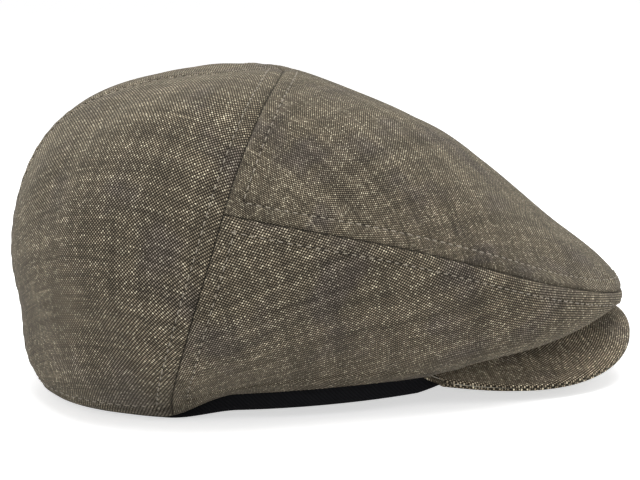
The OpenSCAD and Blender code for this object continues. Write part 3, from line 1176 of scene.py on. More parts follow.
@dataclass(frozen=True)
class NickelPlate:
    """Nickel-plated brass of a pressed snap, rubbed dull: fine turned marks and a little tarnish."""

    name: str = "nickel_plate"
    bright: str = "#b9b4a8"
    dull: str = "#8a8578"

    def build(self) -> bpy.types.Material:
        """Makes the material: tarnish clouds in colour and roughness over object coordinates.

        Returns:
            The material.
        """
        material, tree, shader = new_material(self.name)
        s = Sums(tree)
        place = add_node(tree, "ShaderNodeTexCoord").outputs["Object"]
        clouds = s.noise(place, 700.0, 3.0)
        marks = s.noise(place, 5000.0, 2.0)
        tree.links.new(s.mix(clouds, linear(self.dull), linear(self.bright)), shader.inputs["Base Color"])
        tree.links.new(s.ramp(s.op("ADD", clouds, marks), 0.6, 1.4, (0.28, 0.5)), shader.inputs["Roughness"])
        bump = add_node(tree, "ShaderNodeBump", None, Strength=0.2, Distance=0.02 * MM, Height=marks)
        tree.links.new(bump.outputs[0], shader.inputs["Normal"])
        shader.inputs["Metallic"].default_value = 1.0
        return material


@dataclass(frozen=True)
class FloorPaper:
    """White paper sweep: matt, and bright to the camera so that only the cap's shadow shows on it."""

    name: str = "white_paper"
    white: float = 0.82
    lift: float = 0.62

    def build(self) -> bpy.types.Material:
        """Makes the material: diffuse white, plus a little light that only camera and mirror rays see.

        Returns:
            The material.
        """
        material, tree, shader = new_material(self.name)
        s = Sums(tree)
        shader.inputs["Base Color"].default_value = (self.white, self.white, self.white, 1.0)
        shader.inputs["Roughness"].default_value = 0.9
        shader.inputs["Specular IOR Level"].default_value = 0.0
        glow = add_node(tree, "ShaderNodeEmission", None, Strength=s.both(s.seen_direct(), self.lift))
        both = add_node(tree, "ShaderNodeAddShader", None, in0=shader.outputs[0], in1=glow.outputs[0])
        tree.links.new(both.outputs[0], tree.nodes["Material Output"].inputs[0])
        return material


# ---------------------------------------------------------------------------------------------
# Placing
# ---------------------------------------------------------------------------------------------


@dataclass(frozen=True)
class Place:
    """Moves points from the crown point's axis to the cap's own frame, by the construction model's box."""

    shift: float

    @staticmethod
    def from_frame(plan: VisorPlan) -> "Place":
        """The shift that brings the visor's front edge to where the construction model has it."""
        return Place(plan.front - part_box("visor_top_cover")[1].x / MM)

    def move(self, points: Array) -> Array:
        """Points in mm moved back by the shift."""
        return points - np.array([self.shift, 0.0, 0.0])


def dress(
    piece: bpy.types.Object,
    material: bpy.types.Material,
    nodes: Sequence[str] = (),
    body: str | None = "crown",
) -> bpy.types.Object:
    """Gives a finished piece its material, the nodes it stands for, and its body.

    Args:
        piece: the mesh object.
        material: its material.
        nodes: the construction nodes it replaces.
        body: the body it rides on, or None to leave it on no body.

    Returns:
        The piece.
    """
    piece.data.materials.clear()
    piece.data.materials.append(material)
    if nodes:
        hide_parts(*nodes)
    if body:
        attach(piece, body)
    log.info("%s: %d faces", piece.name, len(piece.data.polygons))
    return piece


def strip_layout(grid: Array, turn_deg: float) -> Array:
    """Flat layout of a roughly rectangular panel, turned to its grain.

    The first coordinate is the run along the middle column, the second the run across each row
    from its middle.

    Args:
        grid: places, rows by columns by 3.
        turn_deg: how far the yarns are turned from the rows.

    Returns:
        Layout in mm, rows by columns by 2.
    """
    middle = grid.shape[1] // 2
    down = run_lengths(grid[:, middle])
    across = run_lengths(np.swapaxes(grid, 0, 1)).T
    sideways = across - across[:, middle : middle + 1]
    flat = np.stack([np.broadcast_to(down[:, None], across.shape), sideways], -1)
    return turned(flat, turn_deg)


def fan_layout(grid: Array, turn_deg: float) -> Array:
    """Flat layout of a panel that narrows to a point, as a cone unrolled about that point.

    The radius is the run from the last column to each point, and the angle is the run round from
    the middle row over that radius.

    Args:
        grid: places, rows by columns by 3, the last column at the point.
        turn_deg: how far the yarns are turned from the middle row.

    Returns:
        Layout in mm, rows by columns by 2.
    """
    radius = run_lengths(np.swapaxes(grid, 0, 1)[::-1])[::-1].T
    around = run_lengths(grid)
    angle = (around - around[grid.shape[0] // 2]) / np.maximum(radius, 1.0)
    flat = np.stack([radius * np.sin(angle), -radius * np.cos(angle)], -1)
    return turned(flat, turn_deg)


def turned(flat: Array, degrees: float) -> Array:
    """A layout turned about its origin."""
    c, s = math.cos(math.radians(degrees)), math.sin(math.radians(degrees))
    return flat @ np.array([[c, s], [-s, c]])


# ---------------------------------------------------------------------------------------------
# Crown cloth
# ---------------------------------------------------------------------------------------------


@dataclass(frozen=True)
class Panel:
    """One panel of the crown.

    Its size in mm is a rough one, for spacing its vertices; its grain is in degrees; its spread
    multiplies the cloth coordinates, so that less than 1 draws its yarns wider apart.
    """

    node: str
    patch: Callable[[Array, Array], Array]
    size: tuple[float, float]
    side: Side
    grain: float
    fan: bool = False
    spread: float = 1.0
    fine: tuple[tuple[bool, bool], tuple[bool, bool]] = ((True, True), (True, True))


def all_panels(prefix: str = "", top: str = "top_panel") -> list[Panel]:
    """The five panels, of the outer cloth or, with a prefix, of the lining.

    Args:
        prefix: what the side and back nodes' names start with.
        top: the top node's name.

    Returns:
        The panels.
    """
    side, back = (f"{prefix}side", f"{prefix}back") if prefix else ("side_panel", "back_panel")
    found = [Panel(top, top_patch, (250.0, 190.0), Side.RIGHT, 24.0)]
    to_point = ((True, True), (True, False))
    for which in Side:
        end = which.name.lower()
        found.append(Panel(f"{side}_{end}", side_patch, (300.0, 105.0), which, -33.0, spread=0.91))
        found.append(
            Panel(f"{back}_{end}", back_patch, (165.0, 190.0), which, -12.0, True, 0.86, to_point)
        )
    return found


@dataclass(frozen=True)
class CrownCloth:
    """The outer cloth's five panels and the interfacing behind the top one.

    Sizes in mm; edge and tip are the shares of the disc left free at a seam and at a point.
    """

    crown: Crown
    seams: Seams
    place: Place
    thickness: float = 1.0
    hem_ply: float = 0.9
    edge: float = 0.0006
    tip: float = 0.002
    steps: tuple[float, float] = (0.55, 1.8)
    reach: float = 9.0
    interfacing_depths: tuple[float, float] = (1.3, 1.9)

    def surface(self, disc: Array, flip: float) -> tuple[Array, Array, dict[str, Array]]:
        """Relieved places, normals and seam distances over disc points.

        Args:
            disc: disc points of the right-hand side.
            flip: 1 for the right, -1 for the left.

        Returns:
            Places and normals, mirrored if on the left, and what was measured.
        """
        turned_disc = disc * np.array([1.0, flip])
        base = self.crown.point(turned_disc)
        normal = self.crown.normal(turned_disc)
        near = self.seams.measure(base)
        return base + self.seams.relief(base, near)[..., None] * normal, normal, near

    def build_panel(self, panel: Panel, material: bpy.types.Material) -> bpy.types.Object:
        """Builds one panel: a relieved outer face, an inner one a thickness below, and closed edges.

        Args:
            panel: the panel.
            material: the cloth.

        Returns:
            The piece.
        """
        us = spaced(panel.size[0], panel.fine[0], self.steps, self.reach)
        vs = spaced(panel.size[1], panel.fine[1], self.steps, self.reach)
        last = self.tip if panel.fan else self.edge
        first = 0.0 if panel.patch in (side_patch, back_patch) else self.edge
        us = self.edge + (1 - 2 * self.edge) * us
        vs = first + (1 - first - last) * vs
        u, v = np.meshgrid(us, vs, indexing="ij")
        outer, normal, near = self.surface(panel.patch(u, v), panel.side.value)
        # The cloth thickens to two plies in the hem.
        depth = self.thickness + self.hem_ply * smooth((6.0 - near["hem"]) / 2.0)
        inner = outer - depth[..., None] * normal
        if first == 0.0:
            # The hem's edge is rounded: its last rows draw in under the fold.
            draw = 0.8 * smooth((1.1 - near["hem"]) / 1.1)
            outer = outer - draw[..., None] * normal
        lay = fan_layout if panel.fan else strip_layout
        layout = lay(self.crown.point(panel.patch(u, v)), panel.grain)
        points = self.place.move(np.vstack([outer.reshape(-1, 3), inner.reshape(-1, 3)]))
        # Only the back panels' hem is stitched where it shows; elsewhere the finish must not mark it.
        near["hem"] = near["hem"] + (0.0 if panel.fan else UNMARKED)
        values = {key: np.tile(value.ravel(), 2) for key, value in near.items()}
        flat = doubled(panel.spread * layout)
        piece = make_mesh(f"cloth_{panel.node}", points, sheet_quads(*u.shape), flat, values, 62.0)
        dress(piece, material, [panel.node])
        return piece

    def build_interfacing(self, material: bpy.types.Material) -> bpy.types.Object:
        """Builds the interfacing, which follows the top panel's relief just behind it.

        Args:
            material: the interfacing's material.

        Returns:
            The piece.
        """
        u, v = np.meshgrid(np.linspace(0.31, 0.91, 90), np.linspace(0.065, 0.935, 80), indexing="ij")
        disc = top_patch(u, v)
        outer, normal, _ = self.surface(disc, 1.0)
        layout = strip_layout(outer, 0.0)
        faces = [outer - depth * normal for depth in self.interfacing_depths]
        points = self.place.move(np.vstack([face.reshape(-1, 3) for face in faces]))
        piece = make_mesh("interfacing_sheet", points, sheet_quads(*u.shape), doubled(layout))
        dress(piece, material, ["crown_interfacing"])
        return piece


@dataclass
class LiningCloth:
    """The lining's five panels, hung inside the crown with small drag lines. Sizes in mm."""

    crown: Crown
    place: Place
    thickness: float = 0.6
    clearance: float = 0.4
    grain: float = 45.0
    edge: float = 0.002
    tip: float = 0.003
    steps: tuple[float, float] = (0.9, 2.6)
    reach: float = 6.0
    seams: Seams = field(init=False)

    def __post_init__(self) -> None:
        """Samples the lining's own seams."""
        self.seams = Seams(self.crown)

    def build_panel(self, panel: Panel, material: bpy.types.Material) -> bpy.types.Object:
        """Builds one lining panel: seams drawn in and soft drag lines towards the hem.

        Args:
            panel: the panel.
            material: the cloth.

        Returns:
            The piece.
        """
        us = spaced(panel.size[0], panel.fine[0], self.steps, self.reach)
        vs = spaced(panel.size[1], panel.fine[1], self.steps, self.reach)
        last = self.tip if panel.fan else self.edge
        first = 0.0 if panel.patch in (side_patch, back_patch) else self.edge
        us = self.edge + (1 - 2 * self.edge) * us
        vs = first + (1 - first - last) * vs
        u, v = np.meshgrid(us, vs, indexing="ij")
        disc = panel.patch(u, v) * np.array([1.0, panel.side.value])
        base, normal = self.crown.point(disc), self.crown.normal(disc)
        near = self.seams.measure(base)
        drag = np.sin(np.arctan2(base[..., 1], base[..., 0]) * 31 + 1.5 * np.sin(base[..., 2] / 13.0))
        lift = 0.45 * bell(near["seam"])
        lift += 0.35 * drag * smooth(near["hem"] / 12.0) * bell(near["hem"] / 45.0)
        outer = base - (self.clearance + lift)[..., None] * normal
        inner = outer - self.thickness * normal
        layout = (fan_layout if panel.fan else strip_layout)(base, self.grain)
        points = self.place.move(np.vstack([outer.reshape(-1, 3), inner.reshape(-1, 3)]))
        piece = make_mesh(f"satin_{panel.node}", points, sheet_quads(*u.shape), doubled(layout))
        dress(piece, material, [panel.node])
        return piece


# ---------------------------------------------------------------------------------------------
# Topstitching
# ---------------------------------------------------------------------------------------------


@dataclass(frozen=True)
class Stitches:
    """Rows of single stitches: short threads that dip into the cloth at both ends. Sizes in mm."""

    crown: Crown
    seams: Seams
    place: Place
    length: float = 2.5
    radius: float = 0.24
    sunk: float = 0.42
    rise: float = 0.68
    taper: tuple[float, ...] = (0.35, 0.95, 1.0, 1.0, 0.95, 0.35)
    rings: int = 6
    sides: int = 6
    hem_ends: float = -58.0

    def threads(self, centres: Array, normals: Array, radius: Array) -> tuple[Array, Array, Array]:
        """Closed tubes round many short centrelines at once.

        A ring stands round each centreline point, in the plane of the normal and of the normal
        crossed with the run; the end rings are small and closed.

        Args:
            centres: n stitches by rings by 3.
            normals: the cloth's normal at each.
            radius: radius at each ring.

        Returns:
            Points, quads and thread coordinates.
        """
        n, rings, sides = len(centres), self.rings, self.sides
        run = unit(np.gradient(centres, axis=1))
        across = unit(np.cross(run, normals))
        up = np.cross(across, run)
        angle = np.arange(sides) * 2 * math.pi / sides
        round_ = np.cos(angle)[:, None] * across[..., None, :] + np.sin(angle)[:, None] * up[..., None, :]
        points = centres[..., None, :] + radius[None, :, None, None] * round_
        number = np.arange(n * rings * sides).reshape(n, rings, sides)
        around = np.roll(number, -1, axis=2)
        walls = np.stack([number[:, :-1], number[:, 1:], around[:, 1:], around[:, :-1]], -1).reshape(-1, 4)
        caps = [number[:, 0][:, [0, 1, 2, 3]], number[:, 0][:, [0, 3, 4, 5]]]
        caps += [number[:, -1][:, [3, 2, 1, 0]], number[:, -1][:, [5, 4, 3, 0]]]
        along = run_lengths(np.swapaxes(centres, 0, 1)).T
        flat = np.stack(np.broadcast_arrays(along[..., None], (angle / (2 * math.pi))[None, None]), -1)
        return points.reshape(-1, 3), np.vstack([walls, *caps]), flat.reshape(-1, 2)

    def centrelines(self, disc: Array, run: Array, pitch: float) -> tuple[Array, Array]:
        """Stitch centrelines along a row on the crown.

        A stitch spans its length about the middle of each pitch; the height over the cloth is a
        half sine that starts and ends below it.

        Args:
            disc: the row's points in the disc.
            run: the run along the seam at each, in mm.
            pitch: stitch pitch.

        Returns:
            Centres and normals, n stitches by rings by 3.
        """
        share = np.linspace(0, 1, self.rings)
        count = np.arange(math.ceil(run[0] / pitch), math.floor(run[-1] / pitch))
        starts = count * pitch + (pitch - self.length) / 2
        where = starts[:, None] + share * self.length
        spots = np.stack([np.interp(where, run, disc[:, k]) for k in (0, 1)], -1)
        base, normal = self.crown.point(spots), self.crown.normal(spots)
        lift = self.seams.relief(base, self.seams.measure(base))
        height = self.rise * np.sqrt(np.sin(math.pi * np.clip(share, 0.001, 0.999))) - self.sunk
        return base + (lift + height)[..., None] * normal, normal

    def row_beside(self, line: Line, offset: float) -> Array:
        """Disc points of a row a set distance beside a line, found from the tangent plane.

        Args:
            line: the seam or hem.
            offset: how far beside it, in mm, and on which side.

        Returns:
            Disc points, one for each of the line's samples.
        """
        normal = self.crown.normal(line.disc)
        beside = unit(np.cross(normal, line.tangent))
        return self.crown.nearest(line.disc, line.place + offset * beside)

    def build_row(
        self,
        name: str,
        line: Line,
        offset: float,
        material: bpy.types.Material,
    ) -> bpy.types.Object:
        """Builds the stitches of one row, leaving out those that would cross another seam.

        Args:
            name: the piece's name.
            line: the seam or hem that the row follows.
            offset: how far beside it, in mm, and on which side.
            material: the thread's material.

        Returns:
            The piece.
        """
        disc = self.row_beside(line, offset)
        centres, normals = self.centrelines(disc, line.run, self.seams.stitch_pitch)
        middle = centres[:, self.rings // 2]
        others = [other for other in self.seams.lines.values() if other is not line]
        clear = np.min([other.distance(middle)[0] for other in others], axis=0)
        own = line.distance(middle)[0]
        keep = (clear > 0.93 * abs(offset)) & (own > 0.8 * abs(offset))
        if line is self.seams.hem:
            keep &= middle[:, 0] < self.hem_ends
        else:
            keep &= self.seams.hem.distance(middle)[0] > self.seams.hem_row + 0.8
        radius = self.radius * np.array(self.taper)
        points, quads, flat = self.threads(centres[keep], normals[keep], radius)
        piece = make_mesh(name, self.place.move(points), quads, flat)
        return dress(piece, material)


# ---------------------------------------------------------------------------------------------
# Head band
# ---------------------------------------------------------------------------------------------


@dataclass(frozen=True)
class HeadBand:
    """The sweatband and the stay tape: strips round the opening, butted at the back."""

    plan: VisorPlan
    place: Place
    height: float = 32.0
    thickness: float = 1.6
    inset: float = 3.0
    show: float = 8.2
    tape_inset: float = 2.2
    tape_lift: float = 1.6
    tape_height: float = 9.0
    tape_thickness: float = 0.5
    end_deg: float = 179.6

    def edge(self, angle: Array, inset: Array) -> Array:
        """Points of the hem's line at an angle, inset: x, y and the hem's height there.

        Args:
            angle: angle from the nose.
            inset: how far inside the hem, in mm.

        Returns:
            Places in mm, about the crown point's axis.
        """
        c, s = np.cos(angle), np.sin(angle)
        rim, own = self.plan.opening_radius(c, s, 0.0), self.plan.opening_radius(c, s, inset)
        return np.stack(np.broadcast_arrays(own * c, own * s, self.plan.hem(rim * c, rim * s)), -1)

    def drop(self, angle: Array) -> Array:
        """How far the band's lower edge is below the hem.

        Args:
            angle: angle from the nose.

        Returns:
            Drops in mm.
        """
        c, s = np.cos(angle), np.sin(angle)
        share = self.plan.hem_step(self.plan.opening_radius(c, s) * c)
        return self.plan.hem_back + (self.show - self.plan.hem_back) * share

    def build_sweatband(self, material: bpy.types.Material) -> bpy.types.Object:
        """Builds the sweatband: a strip with full, rounded edges and a faint roll down its height.

        Its section is a ring of points: the outer face, the top edge, the inner face and the lower
        edge, each edge a half round.

        Args:
            material: the band's cloth.

        Returns:
            The piece.
        """
        angle = np.radians(np.linspace(-self.end_deg, self.end_deg, 420))
        half = self.thickness / 2
        turn = np.linspace(0, math.pi, 9)
        face = np.linspace(0, 1, 22)[1:-1]
        low, high = half, self.height - half
        bow, dip = half * np.cos(turn), half * np.sin(turn)
        climb = (high - low) * face
        deep = np.concatenate([0 * face, half - bow, 0 * face + 2 * half, half + bow])
        tall = np.concatenate([low + climb, high + dip, high - climb, low - dip])
        a, d = np.meshgrid(angle, deep, indexing="ij")
        z = np.broadcast_to(tall, d.shape)
        # The inner face bulges a little at mid-height, and a row of stitches dents both faces.
        roll = 0.28 * np.sin(math.pi * np.clip(z / self.height, 0, 1))
        roll += 0.10 * np.sin(9 * a + 2 * np.sin(3 * a))
        bead = 0.18 * bell((z - 4.0) / 0.6)
        inside = d > half
        points = self.edge(a, self.inset + d - 0.25 * roll * inside + bead * np.where(inside, -1, 1))
        points[..., 2] += z - self.drop(a)
        run = run_lengths(points[:, 0])
        # The inner face's cloth coordinates stand clear of the outer face's.
        flat = np.stack([np.broadcast_to(run[:, None], z.shape), z + 40.0 * inside], -1)
        rows, cols = a.shape
        number = np.arange(rows * cols).reshape(rows, cols)
        around = np.roll(number, -1, axis=1)
        walls = np.stack([number[:-1], number[1:], around[1:], around[:-1]], -1).reshape(-1, 4)
        # Both ends are closed by quads across the thin section, outer face to inner face.
        ends = []
        for row in (number[0], number[-1][::-1]):
            count = cols // 2
            left, right = row[:count], row[::-1][:count]
            ends.append(np.stack([left[:-1], left[1:], right[1:], right[:-1]], -1))
        quads = np.vstack([walls, *ends])
        points = self.place.move(points.reshape(-1, 3))
        piece = make_mesh("sweatband_strip", points, quads, flat.reshape(-1, 2))
        dress(piece, material, ["sweatband"])
        return piece

    def build_tape(self, material: bpy.types.Material) -> bpy.types.Object:
        """Builds the stay tape behind the sweatband, just above the hem.

        Args:
            material: the tape's cloth.

        Returns:
            The piece.
        """
        angle = np.radians(np.linspace(-self.end_deg, self.end_deg, 300))
        heights = self.tape_lift + np.linspace(0, self.tape_height, 7)
        a, z = np.meshgrid(angle, heights, indexing="ij")
        faces = []
        for depth in (0.0, self.tape_thickness):
            points = self.edge(a, self.tape_inset + depth)
            points[..., 2] += z
            faces.append(points)
        run = run_lengths(faces[0][:, 0])
        flat = np.stack([np.broadcast_to(run[:, None], z.shape), z], -1)
        points = self.place.move(np.vstack([f.reshape(-1, 3) for f in faces]))
        piece = make_mesh("stay_tape_strip", points, sheet_quads(*a.shape), doubled(flat))
        return dress(piece, material, ["stay_tape"])


# ---------------------------------------------------------------------------------------------
# Visor
# ---------------------------------------------------------------------------------------------


@dataclass(frozen=True)
class Visor:
    """The visor's two cloth covers and its board."""

    plan: VisorPlan
    place: Place
    end: float = 0.985
    blend_long: float = 70.0
    cloth_grain: float = 52.0
    cloth_spread: float = 0.93

    def outline(self, s: Array, w: Array) -> Array:
        """Plan points: s from the right end to the left one, w from the root to the superellipse edge.

        Args:
            s: share from the right end, -1, to the left one, 1.
            w: share from the root to the edge.

        Returns:
            How far ahead and aside each point is, in mm.
        """
        p = self.plan
        root_angle = math.acos(p.root_ahead / p.opening_long) * s
        root = np.stack(
            [
                p.opening_ahead + (p.opening_long - p.root_inset) * np.cos(root_angle),
                (p.opening_wide - p.root_inset) * np.sin(root_angle),
            ],
            -1,
        )
        t, e = s * math.pi / 2, 2 / p.squareness
        ahead = p.root_x + (p.front - p.root_x) * np.maximum(np.cos(t), 1e-9) ** e
        aside = p.root_y * np.sign(s) * np.abs(np.sin(t)) ** e
        edge = np.stack([ahead, aside], -1)
        return (1 - w)[..., None] * root + w[..., None] * edge

    def face(self, s: Array, w: Array, z: Array) -> Array:
        """Places of a face a height z from the mid-ply."""
        plan = self.outline(s, w)
        return np.concatenate([plan, (self.plan.mid(plan[..., 0], plan[..., 1]) + z)[..., None]], -1)

    def ends(self, count: int, end: float) -> Array:
        """Shares from -end to end, closer together where the outline's corners are."""
        t = np.linspace(-1, 1, count)
        return end * (t + 0.10 * np.sin(2 * math.pi * t) / math.pi)

    def bend(self, piece: bpy.types.Object) -> None:
        """Bakes a piece's transform into its mesh; the piece is not blended.

        It works out a start at the visor's root and a finish along a direction level forward and steep
        down, for a blend from the crown at the root to the visor at its edge, but nothing reads them.

        Args:
            piece: a piece of the visor.
        """
        p = self.plan
        start = np.array([p.root_front, 0.0, p.mid(p.root_front, 0.0)])
        slope = (p.root_front - p.root_x) / float(p.mid(p.root_front, 0.0) - p.mid(p.root_x, p.root_y))
        full = self.blend_long / (1 + slope**2)
        finish = start + full * np.array([1.0, 0.0, -slope])
        points = [self.place.move(q) * MM for q in (start, finish)]
        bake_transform(piece)

    def build_cover(self, name: str, node: str, up: float, material: bpy.types.Material) -> bpy.types.Object:
        """Builds a cover: flat to the board, then closing over its edge in a quarter round.

        Args:
            name: the piece's name.
            node: the construction node it replaces.
            up: 1 for the top cover, -1 for the under one.
            material: the cloth.

        Returns:
            The piece.
        """
        p = self.plan
        closing = p.board_back / p.length
        flat_part = np.linspace(0, 1 - closing, 36)
        turn = np.radians(np.linspace(0, 90, 10)[1:])
        w = np.concatenate([flat_part, 1 - closing + closing * np.sin(turn)])
        lift = np.concatenate([0 * flat_part + p.half_ply, np.maximum(p.gap / 2, p.half_ply * np.cos(turn))])
        s, ww = np.meshgrid(self.ends(260, self.end), w, indexing="ij")
        z = np.broadcast_to(lift, s.shape)
        from_edge = (1 - ww) * p.length
        # Faint pulls in the cloth near the edge, where it is turned in.
        relief = 0.14 * np.sin(s * 17 + 1.3 * np.sin(s * 9)) * bell((from_edge - 5) / 6)
        inner = self.face(s, ww, up * z)
        outer = self.face(s, ww, up * (z + p.cover + relief * (ww < 0.985)))
        layout = doubled(self.cloth_spread * strip_layout(inner, self.cloth_grain))
        values = {key: np.full(2 * s.size, UNMARKED) for key in ("seam", "run", "hem", "hem_run")}
        points = self.place.move(np.vstack([outer.reshape(-1, 3), inner.reshape(-1, 3)]))
        piece = make_mesh(name, points, sheet_quads(*s.shape), layout, values, 70.0)
        dress(piece, material, [node], None)
        self.bend(piece)
        return piece

    def build_board(self, material: bpy.types.Material) -> bpy.types.Object:
        """Builds the stiff board between the covers, its edge a little rounded.

        Args:
            material: the board's material.

        Returns:
            The piece.
        """
        p = self.plan
        w = np.linspace(0, 1 - p.board_back / p.length, 30)
        s, ww = np.meshgrid(self.ends(160, self.end - 0.02), w, indexing="ij")
        half = p.board / 2 - 0.25 * smooth((ww - w[-2]) / (w[-1] - w[-2]))
        faces = [self.face(s, ww, half), self.face(s, ww, -half)]
        layout = strip_layout(faces[0], 0.0)
        points = self.place.move(np.vstack([f.reshape(-1, 3) for f in faces]))
        piece = make_mesh("board_sheet", points, sheet_quads(*s.shape), doubled(layout))
        dress(piece, material, ["visor_board"], None)
        self.bend(piece)
        return piece


# ---------------------------------------------------------------------------------------------
# Snap
# ---------------------------------------------------------------------------------------------


@dataclass(frozen=True)
class Snap:
    """The four-part snap: its cap and socket as constructed, its stud and post as copies."""

    visor: Visor

    def copy_node(self, node: str, name: str, material: bpy.types.Material) -> bpy.types.Object:
        """Copies a construction node's mesh into a piece of its own, with its transform baked in.

        Args:
            node: the construction node.
            name: the piece's name.
            material: the metal.

        Returns:
            The piece.
        """
        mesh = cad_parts[node].data.copy()
        mesh.name = name
        made = bpy.data.objects.new(name, mesh)
        bpy.context.scene.collection.objects.link(made)
        dress(made, material, [node], None)
        self.visor.bend(made)
        return made

    def build(self, material: bpy.types.Material) -> None:
        """Dresses the cap and socket, and copies the stud and post.

        Args:
            material: the metal.
        """
        for node in ("snap_cap", "snap_socket"):
            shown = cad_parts[node]
            shown.data.materials.clear()
            shown.data.materials.append(material)
            log.info("%s: kept with %s", node, material.name)
        self.copy_node("snap_stud", "snap_stud_turned", material)
        self.copy_node("snap_post", "snap_post_turned", material)


# ---------------------------------------------------------------------------------------------
# Studio
# ---------------------------------------------------------------------------------------------


@dataclass(frozen=True)
class Studio:
    """White floor, soft light from above, and a long-lens camera beside the cap, a little above it."""

    azimuth: float = -7.52
    elevation: float = 10.09
    roll: float = 1.085
    distance: float = 0.802
    lens: float = 97.2
    look: tuple[float, float, float] = (0.0025, 0.0, 0.0595)
    shift: tuple[float, float] = (-0.0128, 0.0172)
    sky: float = 0.46
    aim: tuple[float, float, float] = (0.0, 0.0, 0.05)
    floor_size: float = 6.0
    floor_z: float = -0.0002

    def build_camera(self) -> None:
        """Makes the camera: it looks from its azimuth and elevation at the look point, rolled."""
        a, e, r = (math.radians(d) for d in (self.azimuth, self.elevation, self.roll))
        back = Vector((math.sin(a) * math.cos(e), -math.cos(a) * math.cos(e), math.sin(e)))
        right = Vector((math.cos(a), math.sin(a), 0.0))
        up = back.cross(right)
        across = right * math.cos(r) - up * math.sin(r)
        upward = right * math.sin(r) + up * math.cos(r)
        data = bpy.data.cameras.new("camera")
        data.sensor_width, data.lens = 36.0, self.lens
        data.shift_x, data.shift_y = self.shift
        data.clip_start, data.clip_end = 0.01, 20.0
        camera = bpy.data.objects.new("camera", data)
        axes = Matrix((across, upward, back)).transposed().to_4x4()
        camera.matrix_world = Matrix.Translation(Vector(self.look) + back * self.distance) @ axes
        bpy.context.scene.collection.objects.link(camera)
        bpy.context.scene.camera = camera

    def add_light(self, name: str, place: tuple[float, float, float], size: float, power: float) -> None:
        """Adds a square soft light that faces the cap.

        Args:
            name: the light's name.
            place: where it is, in metres.
            size: its side, in metres.
            power: its power in watts.
        """
        data = bpy.data.lights.new(name, "AREA")
        data.shape, data.size, data.energy = "SQUARE", size, power
        light = bpy.data.objects.new(name, data)
        light.location = place
        light.rotation_euler = (Vector(place) - Vector(self.aim)).to_track_quat("Z", "Y").to_euler()
        bpy.context.scene.collection.objects.link(light)

    def build_world(self) -> None:
        """White to the camera and to mirrors, and a plain grey sky to everything else."""
        world = bpy.data.worlds.new("studio")
        bpy.context.scene.world = world
        world.use_nodes = True
        tree = world.node_tree
        s = Sums(tree)
        strength = s.ramp(s.seen_direct(), 0.0, 1.0, (self.sky, 1.0))
        tree.links.new(strength, tree.nodes["Background"].inputs["Strength"])
        tree.nodes["Background"].inputs["Color"].default_value = (1.0, 1.0, 1.0, 1.0)

    def build_floor(self) -> None:
        """Makes the floor: one white square just below the cap's hem."""
        mesh = bpy.data.meshes.new("floor")
        corners = ((-1, -1), (1, -1), (1, 1), (-1, 1))
        size = self.floor_size
        mesh.from_pydata([(size * x, size * y, self.floor_z) for x, y in corners], [], [(0, 1, 2, 3)])
        mesh.materials.append(FloorPaper().build())
        floor = bpy.data.objects.new("floor", mesh)
        bpy.context.scene.collection.objects.link(floor)

    def build(self) -> None:
        """Makes the whole studio."""
        self.build_camera()
        self.build_world()
        self.add_light("overhead", (0.10, -0.22, 1.25), 0.9, 15.5)
        self.add_light("left_fill", (-1.2, -0.8, 0.5), 0.9, 5.5)
        self.add_light("right_fill", (0.95, -0.75, 0.75), 0.7, 2.4)
        self.build_floor()
        bpy.context.scene.view_settings.view_transform = "Standard"


# ---------------------------------------------------------------------------------------------
# The cap
# ---------------------------------------------------------------------------------------------


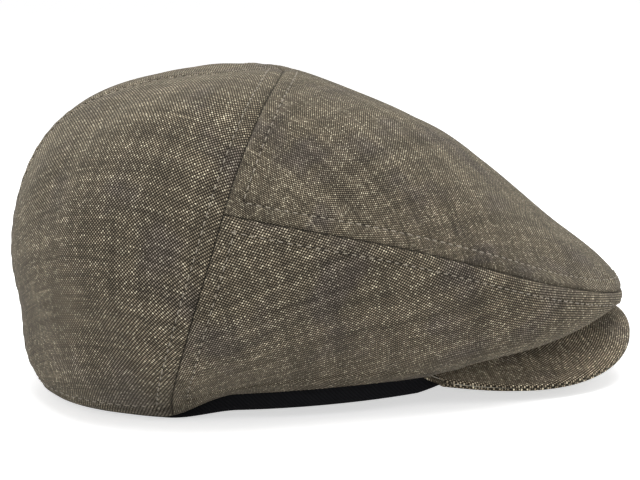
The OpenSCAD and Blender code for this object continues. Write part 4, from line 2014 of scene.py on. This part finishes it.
def main() -> None:
    """Builds every sub-assembly in order."""
    logging.basicConfig(level=logging.INFO, format="%(name)s: %(message)s")
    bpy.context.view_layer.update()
    plan = VisorPlan()
    place = Place.from_frame(plan)
    crown = Crown(plan)
    seams = Seams(crown)
    log.info("crown point is %.2f mm from the middle", place.shift)

    chambray = Chambray().build()
    # The visor's copy of the chambray is drawn lighter all over: painted light, for light that the lamps here
    # don't bring in under the crown's overhang.
    taut = Chambray("taut_visor_chambray", lightness=1.42).build()
    # Satin: smooth, so it has the one clear sheen on the cap; a fine diagonal from its floats.
    satin = WovenFinish(
        "satin_lining",
        light="#4a443e",
        dark="#262220",
        pitch=0.5,
        diagonal=1.0,
        roughness=0.42,
        sheen=0.1,
        depth=0.05,
        specular=0.5,
    ).build()
    # Brushed twill: its nap drinks the light, so it is nearly black, with faint diagonal ribs.
    cotton = WovenFinish(
        "brushed_cotton_twill",
        light="#18181b",
        dark="#08080a",
        pitch=0.9,
        diagonal=1.0,
        roughness=0.95,
        sheen=0.04,
        depth=0.2,
        specular=0.12,
    ).build()
    # Tape, interfacing and board: plain, matt and pale or dull, with a small weave or grain.
    tape = WovenFinish("cotton_tape", "#37332f", "#1d1b19", 0.6, roughness=0.9).build()
    fleece = WovenFinish("bonded_interfacing", "#ded9ca", "#c5c0b2", 1.4, roughness=0.9, sheen=0.1).build()
    board = WovenFinish(
        "pressed_board",
        light="#ddd8c9",
        dark="#c9c3b2",
        pitch=3.0,
        roughness=0.7,
        sheen=0.0,
        depth=0.03,
    ).build()
    top_thread = SpunThread("topstitch_thread", "#a39a8a", "#6c6457").build()
    metal = NickelPlate().build()

    cloth = CrownCloth(crown, seams, place)
    for panel in all_panels():
        cloth.build_panel(panel, chambray)
    cloth.build_interfacing(fleece)
    lining = LiningCloth(Crown(plan, lined=True), place)
    for panel in all_panels("lining_", "lining_top"):
        lining.build_panel(panel, satin)

    stitches = Stitches(crown, seams, place)
    for name, line in seams.lines.items():
        for side, offset in (("a", seams.row_offset), ("b", -seams.row_offset)):
            stitches.build_row(f"topstitch_{name}_{side}", line, offset, top_thread)
    stitches.build_row("topstitch_hem", seams.hem, seams.hem_row, top_thread)

    band = HeadBand(plan, place)
    band.build_sweatband(cotton)
    band.build_tape(tape)

    visor = Visor(plan, place)
    visor.build_cover("visor_cloth_top", "visor_top_cover", 1.0, taut)
    visor.build_cover("visor_cloth_under", "visor_under_cover", -1.0, taut)
    visor.build_board(board)
    Snap(visor).build(metal)

    Studio().build()


if __name__ == "__main__":
    main()
